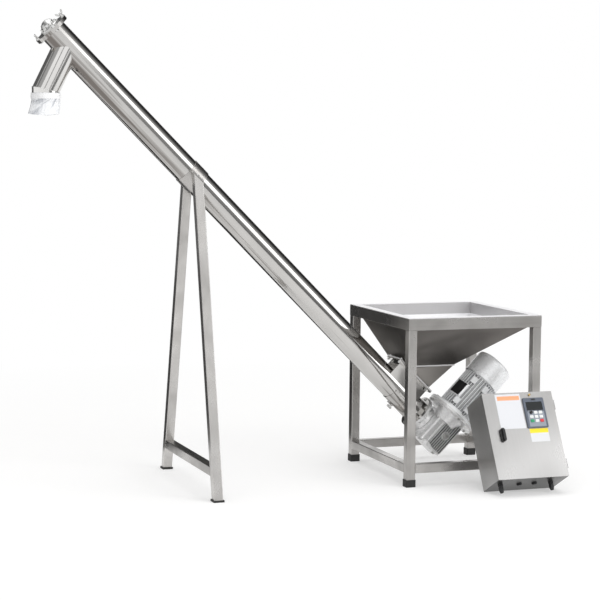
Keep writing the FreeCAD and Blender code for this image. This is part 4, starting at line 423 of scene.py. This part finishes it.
def film_material(name):
    """Clear film, glossy and mostly see-through: whiter in its folds, with creases that spread from below the
    strap's right end. The noise runs round that point, so a crease keeps its angle as it goes down."""
    m, tree, shader = surface_material(name, Roughness=0.18, IOR=1.5, Specular_IOR_Level=0.6)
    to_right, below = 0.05, 0.010
    x, y, z = parts(tree, coordinates(tree))
    dx = maths(tree, "SUBTRACT", x, float(SPOUT_JOINT[0]) + to_right)
    dz = maths(tree, "SUBTRACT", z, float(SPOUT_JOINT[2]) - below)
    angle = maths(tree, "ARCTAN2", dz, dx)
    reach = maths(tree, "SQRT", maths(tree, "ADD", times(tree, dx, dx), times(tree, dz, dz)))
    spread = node(tree, "ShaderNodeCombineXYZ", {0: times(tree, angle, 4.5), 1: times(tree, reach, 9.0),
                                                2: times(tree, y, 6.0)}).outputs[0]
    folds = noise(tree, spread, 1.0, 2.0, 0.45, 0.4)
    crease = between(tree, folds, 0.36, 0.50)
    colour = mixed(tree, crease, (0.62, 0.64, 0.68), (0.97, 0.98, 1.0))
    tree.links.new(colour, shader.inputs["Base Color"])
    tree.links.new(between(tree, crease, 0.0, 1.0, 0.55, 0.70), shader.inputs["Alpha"])
    bump(tree, shader, folds, 0.5, 0.006)
    return m


def card_material(name, paper, field=None, field_from=0.0):
    """Card of one plain colour with fine fibres; above a height it is of the field's plain colour instead."""
    m, tree, shader = surface_material(name, Roughness=0.42, Specular_IOR_Level=0.4)
    v = coordinates(tree, BOX)
    fibres = noise(tree, v, 260.0, 3.0)
    colour = mixed(tree, between(tree, fibres, 0.3, 0.7), tuple(part * 0.96 for part in paper), paper)
    if field is not None:
        above = maths(tree, "GREATER_THAN", parts(tree, v)[2], field_from)
        colour = mixed(tree, above, colour, field)
    tree.links.new(colour, shader.inputs["Base Color"])
    bump(tree, shader, fibres, 0.08, 0.0002)
    return m


def grey(value):
    """Neutral colour."""
    return (value, value, value)


# Metals: a name, the frame and stretch of the grain where it is brushed, a light and a dark colour, and the
# roughness where light and where dark
STEEL = ((0.60, 0.585, 0.57), (0.27, 0.26, 0.248))
# Painted light: a paler copy of the same satin steel, for the support's legs.
PAINTED_LIGHT_STEEL = ((0.70, 0.685, 0.67), (0.36, 0.35, 0.335))
# Painted light: the pale colour of the hopper's and the chute's faces that turn up.
FACING_UP_PAINTED_LIGHT = (0.93, 0.93, 0.95)
SATIN = (0.22, 0.36)
ALONG_Z = (800, 800, 9)
TURNED = (30, 30, 1600)
mat = {}
mat["leg"] = brushed("upright satin steel", None, ALONG_Z, *STEEL, SATIN, contrast=0.7)
# The support's legs take the paler, painted-light copy of the steel.
mat["support"] = brushed("support satin steel", None, ALONG_Z, *PAINTED_LIGHT_STEEL, SATIN, contrast=0.7)
mat["rail"] = rail_steel("rail satin steel", *STEEL)
# Hopper and chute: painted shade in their dark metal that faces down, painted light where they face up.
mat["hopper"] = hopper_steel("rolled hopper steel", (0.25, 0.235, 0.22), (0.11, 0.10, 0.093), FACING_UP_PAINTED_LIGHT)
mat["chute"] = hopper_steel("chute steel", (0.28, 0.265, 0.25), (0.17, 0.16, 0.15), FACING_UP_PAINTED_LIGHT)
# The third colour is the dark of the tube's painted reflections.
mat["tube"] = streaked("polished tube steel", (0.64, 0.63, 0.615), (0.48, 0.47, 0.455),
                       (0.15, 0.132, 0.12))
mat["spout"] = brushed("polished spout steel", None, (500, 500, 4), (0.86, 0.85, 0.835), (0.62, 0.61, 0.595),
                       (0.07, 0.15), contrast=0.6, depth=0.03)
mat["box"] = box_steel("brushed box steel", (0.66, 0.655, 0.65), (0.36, 0.355, 0.35))
mat["bolt"] = brushed("bright bolt steel", None, (600, 600, 600), (0.78, 0.78, 0.77), (0.58, 0.58, 0.57),
                      (0.18, 0.34), contrast=0.6, depth=0.1)
mat["shaft"] = brushed("turned shaft steel", TUBE, TURNED, (0.62, 0.61, 0.60), (0.48, 0.47, 0.46),
                       (0.2, 0.34), contrast=0.6, depth=0.1)
mat["worm"] = brushed("turned worm steel", MOTOR, TURNED, (0.60, 0.59, 0.58), (0.46, 0.45, 0.44),
                      (0.2, 0.34), contrast=0.6, depth=0.1)
mat["flight"] = brushed("flight steel", TUBE, (60, 60, 60), (0.66, 0.65, 0.63), (0.46, 0.45, 0.43),
                        (0.26, 0.42), contrast=0.6)
mat["bronze"] = cast_metal("wheel bronze", (0.74, 0.54, 0.28), (0.50, 0.34, 0.15), (0.25, 0.42),
                           metallic=1.0, depth=0.2)
mat["iron"] = cast_metal("lamination iron", grey(0.22), grey(0.10), (0.5, 0.7), metallic=1.0, depth=0.4)
# The gearbox's ribs and the motor's fins get painted shade between them.
mat["cast"] = cast_metal("die-cast aluminium", grey(0.95), grey(0.62), (0.20, 0.36), metallic=0.45,
                         hollows=between_ribs, recess_shade=0.93)
mat["motor"] = cast_metal("silver motor paint", (0.92, 0.93, 0.94), (0.84, 0.85, 0.86), (0.28, 0.42),
                          metallic=0.22, depth=0.10, hollows=between_fins, recess_shade=0.55)
mat["cowl"] = cast_metal("silver cowl paint", (0.88, 0.89, 0.90), (0.85, 0.86, 0.87), (0.24, 0.32),
                         metallic=0.30, depth=0.02)
# Near-black colour that stands for the shade in a hollow between the gearbox's ribs: painted shade.
mat["painted rib shade"] = cast_metal("painted rib shade", grey(0.06), grey(0.02), (0.5, 0.7), metallic=0.3)
mat["brass"] = cast_metal("stud brass", (0.80, 0.58, 0.25), (0.60, 0.42, 0.16), (0.2, 0.3),
                          metallic=1.0, depth=0.1)

# Mouldings: a name, a clean and a dusty colour, and the roughness where clean and where dusty
mat["rubber"] = moulded("black rubber", grey(0.012), (0.05, 0.048, 0.045), (0.62, 0.8), depth=0.4,
                        grain=900.0)
mat["black"] = moulded("black moulding", (0.010, 0.010, 0.011), grey(0.03), (0.28, 0.42), depth=0.12)
mat["inverter"] = moulded("inverter moulding", (0.05, 0.055, 0.065), (0.09, 0.09, 0.095), (0.45, 0.6),
                          depth=0.3)
mat["bezel"] = moulded("slate moulding", (0.095, 0.112, 0.145), (0.12, 0.135, 0.165), (0.38, 0.5),
                       field=key_field, other=(0.30, 0.33, 0.38))
mat["display"] = moulded("display pane", (0.006, 0.009, 0.010), (0.012, 0.016, 0.018), (0.06, 0.12),
                         depth=0.0)
mat["white key"] = moulded("white key", (0.74, 0.75, 0.75), (0.66, 0.67, 0.66), (0.35, 0.45), depth=0.08)
mat["green key"] = moulded("green key", (0.02, 0.30, 0.13), (0.05, 0.33, 0.17), (0.3, 0.4), depth=0.08)
mat["red key"] = moulded("red key", (0.62, 0.025, 0.035), (0.62, 0.07, 0.07), (0.3, 0.4), depth=0.08)
mat["strap"] = moulded("white strap", (0.84, 0.84, 0.85), (0.78, 0.78, 0.79), (0.45, 0.6), depth=0.3,
                       grain=700.0)
mat["film"] = film_material("clear film")

NODE_MATERIALS = {
    "leg": ("frame_legs", "support_saddle", "support_clamp"),
    "support": ("support_legs",),
    "rail": ("frame_top_rails", "frame_lower_rails", "support_crossbar"),
    "hopper": ("hopper",),
    "chute": ("hopper_chute",),
    "tube": ("inlet_box", "conveyor_tube", "tube_fittings", "end_plate", "cleanout_door"),
    "spout": ("discharge_spout",),
    "box": ("control_box_shell", "control_box_door"),
    "bolt": ("end_wing_bolts", "cleanout_latch", "hinge_pins", "support_bolts", "gearbox_plugs",
             "flange_bolts", "end_bearing_housing", "mounting_plate"),
    "shaft": ("screw_shaft", "end_bearing", "drive_bearings"),
    "worm": ("worm_shaft",),
    "flight": ("screw_flight",),
    "bronze": ("worm_wheel",),
    "iron": ("motor_stator", "motor_rotor"),
    "cast": ("gearbox_housing", "gearbox_cover"),
    "motor": ("motor_housing", "motor_end_bells", "motor_terminal_box", "motor_terminal_lid"),
    "cowl": ("motor_fan_cowl",),
    "rubber": ("rubber_feet", "shaft_seals", "door_gasket"),
    "black": ("cable_glands", "cooling_fan", "door_latch", "speed_knob"),
    "inverter": ("inverter",),
    "bezel": ("keypad_bezel",),
    "display": ("keypad_display",),
    "white key": ("menu_key", "enter_key", "shift_key", "down_key", "up_key", "jog_key"),
    "green key": ("run_key",),
    "red key": ("stop_key",),
    "strap": ("sleeve_strap",),
}
for kind, names in NODE_MATERIALS.items():
    for name in names:
        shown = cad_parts[name].data.materials
        shown.clear()
        shown.append(mat[kind])


# Mesh helpers

def mesh_object(name, points, faces, material):
    """Object with a mesh of points and faces in one material."""
    data = bpy.data.meshes.new(name)
    data.from_pydata(np.asarray(points, float).reshape(-1, 3).tolist(), [], faces)
    data.update()
    data.materials.append(material)
    piece = bpy.data.objects.new(name, data)
    bpy.context.collection.objects.link(piece)
    return piece


def put(name, points, faces, body, material, smooth=True):
    """Make a mesh piece from points and faces that rides on a body."""
    piece = mesh_object(name, points, faces, material)
    piece.data.polygons.foreach_set("use_smooth", [smooth] * len(faces))
    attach(piece, body)
    return piece


def grid_faces(nu, nv, wrap_u=False, wrap_v=False):
    """Quads of a grid of nu by nv points, closed round either way if asked."""
    iu = np.arange(nu if wrap_u else nu - 1)
    iv = np.arange(nv if wrap_v else nv - 1)
    a, b = np.meshgrid(iu, iv, indexing="ij")
    a2, b2 = (a + 1) % nu, (b + 1) % nv
    quads = np.stack([a * nv + b, a2 * nv + b, a2 * nv + b2, a * nv + b2], -1)
    return quads.reshape(-1, 4).tolist()


def round_angles(count):
    """Angles evenly round a full turn."""
    return np.linspace(0, 2 * math.pi, count, endpoint=False)


def plate(name, where, across, along, y, rise, corner, body, material):
    """Thin card or plate facing -Y of its frame: a rounded oblong swept through four rings, its edge rolled
    over. Point on a ring: corner centre + radius (cos a, sin a); the rings step in, and forward by rise."""
    steps = 6
    a = np.concatenate([np.linspace(k * math.pi / 2, (k + 1) * math.pi / 2, steps) for k in range(4)])
    quarter = np.repeat([0, 1, 2, 3], steps)
    cx = np.where((quarter == 0) | (quarter == 3), across[1] - corner, across[0] + corner)
    cz = np.where(quarter < 2, along[1] - corner, along[0] + corner)
    rings = []
    for inset, out in ((0.0, 0.0), (0.0, rise * 0.6), (rise * 0.4, rise), (corner * 0.999, rise)):
        r = corner - inset
        rings.append(np.stack([cx + r * np.cos(a), np.full_like(a, y - out), cz + r * np.sin(a)], -1))
    points = np.array(rings)
    n = points.shape[1]
    faces = grid_faces(4, n, wrap_v=True)
    faces.append([3 * n + k for k in range(n)][::-1])
    faces.append(list(range(n)))
    return put(name, place(points, where), [f[::-1] for f in faces], body, material, smooth=False)


def bead(name, path, radius, ripple, body, material):
    """Weld bead round a closed path: a round section whose radius swells and shrinks by a sixth at every
    ripple. The section starts square to the path and to a direction that the path never takes."""
    sides, swell, never_ahead = 8, 0.16, (0.31, 0.87, 0.38)
    ahead = np.roll(path, -1, 0) - np.roll(path, 1, 0)
    ahead /= np.linalg.norm(ahead, axis=1, keepdims=True)
    side = np.cross(ahead, never_ahead)
    side /= np.linalg.norm(side, axis=1, keepdims=True)
    up = np.cross(ahead, side)
    step = np.linalg.norm(np.roll(path, -1, 0) - path, axis=1)
    run = np.concatenate([[0], np.cumsum(step[:-1])])
    r = radius * (1 + swell * np.sin(2 * math.pi * run / ripple))
    a = round_angles(sides)
    ring = side[:, None, :] * np.cos(a)[None, :, None] + up[:, None, :] * np.sin(a)[None, :, None]
    points = path[:, None, :] + ring * r[:, None, None]
    return put(name, points, grid_faces(len(path), sides, wrap_u=True, wrap_v=True), body, material)


def lathe(name, profile, where, body, material, count):
    """Turned piece: each (radius, height) of the profile carried round the frame's Z."""
    profile = np.asarray(profile, float)
    a = round_angles(count)
    r, z = profile[:, 0][:, None], profile[:, 1][:, None]
    points = np.stack([r * np.cos(a), r * np.sin(a), z + 0 * a], -1)
    faces = grid_faces(len(profile), count, wrap_v=True)
    last = (len(profile) - 1) * count
    faces += [list(range(count))[::-1], [last + k for k in range(count)]]
    return put(name, place(points, where), faces, body, material)


# Film sleeve

def film_sleeve():
    """Film gathered on the stub and hanging to the lower left. At depth t, from 0 to 1, and angle a, the
    radius is the stub's plus pleats cos(23 a + 2 sin 3 a), which die away under the strap and fade towards
    the hem. Below t = 0.3 the film opens out, with creases cos(3 a) and cos(7 a) that grow, is squashed from
    front to back and moves to the left."""
    nu, nv = 70, 180
    top = SPOUT_JOINT[2] - 0.012
    drop, gathered, widening, to_left = 0.090, 0.0592, 0.0045, 0.008
    strap_at, strap_reach, opens_at = 0.13, 0.06, 0.3
    t = np.linspace(0, 1, nu)[:, None]
    a = round_angles(nv)[None, :]
    strap = np.exp(-((t - strap_at) / strap_reach) ** 2)
    open_out = np.clip((t - opens_at) / (1 - opens_at), 0, 1)
    pleats = 0.0006 * np.cos(23 * a + 2 * np.sin(3 * a)) * (1 - strap) * (1 - 0.6 * open_out)
    creases = 0.0020 * np.cos(3 * a + 1.2 + 1.5 * t) + 0.0012 * np.cos(7 * a + 4 * t)
    radius = gathered + widening * open_out + pleats + open_out * creases
    squash = 1 - 0.10 * open_out
    x = SPOUT_JOINT[0] - to_left * open_out ** 1.3 + radius * np.cos(a)
    y = SPOUT_JOINT[1] + radius * squash * np.sin(a)
    z = top - drop * t + 0.003 * open_out * np.cos(2 * a + 0.6)
    points = np.stack([x, y, z], -1)
    faces = grid_faces(nu, nv, wrap_v=True)
    piece = put("film_sleeve", points, faces, "stand", mat["film"])
    solid = piece.modifiers.new("thickness", "SOLIDIFY")
    solid.thickness = 0.0004
    solid.offset = 1
    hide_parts("discharge_sleeve")


film_sleeve()


# Control box door

CARD = 0.0004
orange_card = card_material("printed card, orange band", (0.70, 0.71, 0.74))
orange_band = card_material("orange band", (0.90, 0.38, 0.20))
yellow_card = card_material("printed card, yellow field", (0.70, 0.71, 0.73), (0.92, 0.70, 0.03),
                            BOX_H - 0.189)


def on_door(name, across, down, proud=0.0, rise=CARD, corner=0.001, material=None):
    """Plate on the box's door: down is its reach below the box's top, proud its distance from the door."""
    along = (BOX_H - down[1], BOX_H - down[0])
    plate(name, BOX, across, along, -BOX_D - proud, rise, corner, "box_door", material)


def door_cards():
    """Plain cards: a white one with an orange band across its top, and one with a yellow upper field."""
    on_door("instruction_card", (0.059, 0.179), (0.007, 0.165), corner=0.002, material=orange_card)
    on_door("instruction_band", (0.068, 0.174), (0.016, 0.035), proud=CARD, rise=CARD / 2, corner=0.0005,
            material=orange_band)
    on_door("notice_card", (0.193, 0.281), (0.169, 0.229), material=yellow_card)


def keypad_details():
    """Clip above the display and three lamps below it, all on the keypad's front."""
    on_door("display_clip", (0.226, 0.246), (0.034, 0.041), KEYPAD_PROUD, rise=0.0016, corner=0.0015,
            material=mat["black"])
    width, pitch, first = 0.004, 0.010, 0.203
    for k in range(3):
        x = first + pitch * k
        on_door("status_lamp_%d" % (k + 1), (x, x + width), (0.0895, 0.0915), KEYPAD_PROUD, corner=0.0009,
                material=mat["white key"])


def door_stud():
    """Brass stud at the top of the door: a turned head and a slim neck, its axis square to the door."""
    middle = place([0.225, -BOX_D, BOX_H - 0.0145], BOX)
    buried, neck, head, rim, top = 0.0001, 0.0024, 0.0046, 0.0050, 0.0042
    profile = [(buried, -0.0005), (neck, -0.0005), (neck, 0.003), (head, 0.003),
               (rim, 0.0036), (rim, 0.0060), (top, 0.0068), (buried, 0.0070)]
    lathe("door_stud", profile, np.array([middle, BOX[1], BOX[3], -BOX[2]]), "box_door",
          mat["brass"], 40)


door_cards()
keypad_details()
door_stud()


# Motor and gearbox

def motor_plate():
    """Plain black plate on a raised pad of the motor's upper left side."""
    turn = math.radians(62)
    outward = -math.cos(turn) * MOTOR[2] - math.sin(turn) * MOTOR[1]
    flank = np.array([MOTOR[0], MOTOR[3], -outward, np.cross(MOTOR[3], -outward)])
    pad_from, pad_rise = 0.070, 0.017
    plate("plate_pad", flank, (0.162, 0.236), (-0.031, 0.031), y=-pad_from, rise=pad_rise, corner=0.004,
          body="stand", material=mat["motor"])
    plate("motor_plate", flank, (0.166, 0.232), (-0.027, 0.027), y=-pad_from - pad_rise, rise=0.0008,
          corner=0.002, body="stand", material=mat["black"])


def case_front():
    """Pad that closes the gearbox's front above the ribs, and a near-black strip in the first hollow between
    them, a painted shade.
    """
    plate("case_pad", TUBE, (-0.079, 0.066), (-0.0958, -0.0850), y=-0.1035, rise=0.0070, corner=0.003,
          body="stand", material=mat["cast"])
    # Painted shade: a near-black strip laid in the hollow between the first ribs.
    plate("painted_hollow_shade", TUBE, (-0.079, 0.070), (-0.1066, -0.1001), y=-0.1030, rise=0.0014, corner=0.0005,
          body="stand", material=mat["painted rib shade"])


motor_plate()
case_front()


# Welds

def saddle_weld():
    """Bead where the spout meets the tube. A line down the spout's surface at angle a is P + u D, and it
    meets the tube where its distance from the tube's axis is the tube's radius: the larger root u."""
    a = round_angles(180)
    across = np.array([0, 1, 0])
    side = np.cross(across, SPOUT_DOWN)
    rim = SPOUT_START + SPOUT_R * (np.cos(a)[:, None] * across + np.sin(a)[:, None] * side)
    local = (rim - TUBE[0]) @ TUBE[1:].T
    down = SPOUT_DOWN @ TUBE[1:].T
    proud = 0.0006
    p = down[0] ** 2 + down[1] ** 2
    q = local[:, 0] * down[0] + local[:, 1] * down[1]
    rest = local[:, 0] ** 2 + local[:, 1] ** 2 - (TUBE_R + proud) ** 2
    u = (-q + np.sqrt(np.maximum(q * q - p * rest, 0))) / p
    bead("saddle_weld", rim + u[:, None] * SPOUT_DOWN, radius=0.0013, ripple=0.004, body="stand",
         material=mat["bolt"])


def elbow_weld():
    """Bead round the spout's mitre: the stub's circle, its points moved up or down to the mitre's plane."""
    a = round_angles(180)
    normal = SPOUT_DOWN + np.array([0, 0, -1])
    x, y = STUB_R * np.cos(a), STUB_R * np.sin(a)
    path = SPOUT_JOINT + np.stack([x, y, -(x * normal[0] + y * normal[1]) / normal[2]], -1)
    bead("elbow_weld", path, radius=0.0008, ripple=0.003, body="stand",
         material=mat["bolt"])


saddle_weld()
elbow_weld()


# Floor, background and light

WHITE = (1, 1, 1, 1)
FAR = 40
MIDDLE = np.array([-0.5, 0.25, 0.9])

# Axes for lamps and cards, which are placed by angles round the third one and along it
UPRIGHT = np.eye(3)
ALONG_TUBE = np.array([[-0.1294, -0.983, -0.1294], [0.695, -0.183, 0.695], [-S45, 0, S45]])
ALONG_SPOUT = np.array([[-0.159, -0.984, 0.078], [0.885, -0.177, -0.431], [0.438, 0, 0.899]])


def stage_material(name):
    """Material with no shader yet, its node tree and the output that its surface goes to."""
    m = bpy.data.materials.new(name)
    m.use_nodes = True
    tree = m.node_tree
    tree.nodes.remove(tree.nodes["Principled BSDF"])
    return m, tree, tree.nodes["Material Output"].inputs["Surface"]


def floor():
    """Wide pale floor that takes the object's shadow; far from the object it passes over into plain white."""
    reach, count = 40, 9
    centre, pale_to, white_from = (-0.4, 0.3, 0), 1.9, 4.2
    m, tree, surface = stage_material("pale floor")
    away = node(tree, "ShaderNodeVectorMath", {0: coordinates(tree), 1: centre}, operation="DISTANCE")
    diffuse = node(tree, "ShaderNodeBsdfDiffuse", {"Color": (*grey(0.66), 1)})
    glow = node(tree, "ShaderNodeEmission", {"Color": WHITE, "Strength": 0.38})
    near = node(tree, "ShaderNodeAddShader", {0: diffuse.outputs[0], 1: glow.outputs[0]})
    far = node(tree, "ShaderNodeEmission", {"Color": WHITE, "Strength": 1.0})
    white = between(tree, away.outputs["Value"], pale_to, white_from)
    both = node(tree, "ShaderNodeMixShader", {0: white, 1: near.outputs[0], 2: far.outputs[0]})
    tree.links.new(both.outputs[0], surface)
    line = np.linspace(-reach, reach, count)
    x, y = np.meshgrid(line, line, indexing="ij")
    faces = [f[::-1] for f in grid_faces(count, count)]
    mesh_object("floor", np.stack([x, y, 0 * x], -1), faces, m)


def toward(around, along, axes):
    """Direction at an angle round the third axis, counted from the first, and at an angle along the third."""
    turn, rise = np.radians(around), np.radians(along)
    round_axis = np.cos(turn)[..., None] * axes[0] + np.sin(turn)[..., None] * axes[1]
    return np.cos(rise)[..., None] * round_axis + np.sin(rise)[..., None] * axes[2]


def width_at(distance, ends):
    """Width, at a distance, of what is seen under the angle between two ends."""
    return 2 * distance * math.tan(math.radians((ends[1] - ends[0]) / 2))


def softbox(name, around, along, distance, axes, brightness, in_gloss=True):
    """Oblong of light facing the object, between two angles round the third axis and two along it; its power
    is brightness times area. With in_gloss off the metal's gloss doesn't show it."""
    away = toward(sum(around) / 2, sum(along) / 2, axes)
    data = bpy.data.lights.new(name, "AREA")
    data.shape = "RECTANGLE"
    data.size, data.size_y = width_at(distance, along), width_at(distance, around)
    data.energy = brightness * math.pi * data.size * data.size_y
    lamp = bpy.data.objects.new(name, data)
    beside = axes[2] - away * (axes[2] @ away)
    beside /= np.linalg.norm(beside)
    lamp.matrix_world = placed((beside, np.cross(away, beside), away, MIDDLE + away * distance))
    lamp.visible_camera = False
    lamp.visible_glossy = in_gloss
    bpy.context.collection.objects.link(lamp)


def gloss_only(name, points, faces, strength):
    """Stage piece of one plain grey that only the metal's gloss shows, like a card beside it in a studio."""
    m, tree, surface = stage_material(name)
    shade = node(tree, "ShaderNodeEmission", {"Color": WHITE, "Strength": strength})
    tree.links.new(shade.outputs[0], surface)
    piece = mesh_object(name, points, faces, m)
    piece.visible_camera = piece.visible_diffuse = piece.visible_shadow = False


def studio_card(name, around, along, distance, axes, strength):
    """Curved card: part of a sphere about the object, between two angles round an axis and two along it."""
    n = 13
    turn, rise = np.meshgrid(np.linspace(*around, n), np.linspace(*along, n), indexing="ij")
    gloss_only(name, MIDDLE + toward(turn, rise, axes) * distance, grid_faces(n, n), strength)


def standing_card(name, start, end, height, strength):
    """Flat card: an upright oblong on the floor between two points of it."""
    above_floor = 0.001
    low = [(*start, above_floor), (*end, above_floor)]
    gloss_only(name, low + [(x, y, height) for x, y, _ in low[::-1]], [[0, 1, 2, 3]], strength)


def background():
    """White for the camera, for gloss and for what is seen through; even light for the rest."""
    world = bpy.data.worlds.new("studio")
    bpy.context.scene.world = world
    world.use_nodes = True
    tree = world.node_tree
    tree.nodes.clear()
    room = node(tree, "ShaderNodeBackground", {"Color": (1.0, 0.995, 0.985, 1), "Strength": 0.54})
    white = node(tree, "ShaderNodeBackground", {"Color": WHITE, "Strength": 1.0})
    path = node(tree, "ShaderNodeLightPath").outputs
    seen = maths(tree, "MAXIMUM", maths(tree, "MAXIMUM", path["Is Camera Ray"], path["Is Glossy Ray"]),
                 path["Is Transmission Ray"])
    both = node(tree, "ShaderNodeMixShader", {0: seen, 1: room.outputs[0], 2: white.outputs[0]})
    tree.links.new(both.outputs[0], tree.nodes.new("ShaderNodeOutputWorld").inputs["Surface"])


def lamps():
    """Two softboxes that the gloss shows, above and in front, and a broad fill that it doesn't."""
    softbox("overhead softbox", (-128, -72), (62, 118), 12, UPRIGHT, brightness=1.15)
    softbox("front softbox", (48, 73), (-36, -2), 15, ALONG_TUBE, brightness=1.75)
    softbox("front fill", (-100, -40), (2, 38), 12, UPRIGHT, brightness=2.1, in_gloss=False)


def cards_for_tube():
    """Cards whose edges lie along the tube, each a step from light to dark in its gloss."""
    for name, around, strength in (("darkest card", (114, 158), 0.03), ("dark grey card", (100, 114), 0.10),
                                   ("grey card", (88, 100), 0.24), ("pale grey card", (74, 88), 0.50)):
        studio_card(name, around, (-42, 26), FAR, ALONG_TUBE, strength)
    studio_card("front grey card", (14, 43), (-42, -7), FAR, ALONG_TUBE, strength=0.30)


def cards_for_spout():
    """Cards whose edges lie along the spout, light and dark by turns in its gloss."""
    for name, around, strength in (("left dark card", (-130, -100), 0.14),
                                   ("left pale card", (-100, -93), 0.55),
                                   ("left grey card", (-93, -78), 0.22),
                                   ("left light card", (-78, -49), 0.42),
                                   ("left thin card", (-21, -15), 0.30)):
        studio_card(name, around, (-8, 24), FAR, ALONG_SPOUT, strength)


def cards_for_frame():
    """Dark cards beside the hopper, and low ones near the floor, for the flat sides of the frame."""
    studio_card("dark card on the left", (90, 150), (-16, 40), 3.2, UPRIGHT, strength=0.12)
    standing_card("near card on the left", (-2.1, 1.2), (0.05, 1.2), height=0.85, strength=0.04)
    studio_card("low card in front", (-78, -46), (-7.2, 1.5), 7, UPRIGHT, strength=0.20)
    studio_card("low card on the right", (-12, 32), (-7.2, 3), 7, UPRIGHT, strength=0.10)


floor()
background()
lamps()
cards_for_tube()
cards_for_spout()
cards_for_frame()
bpy.context.scene.view_settings.view_transform = "Standard"
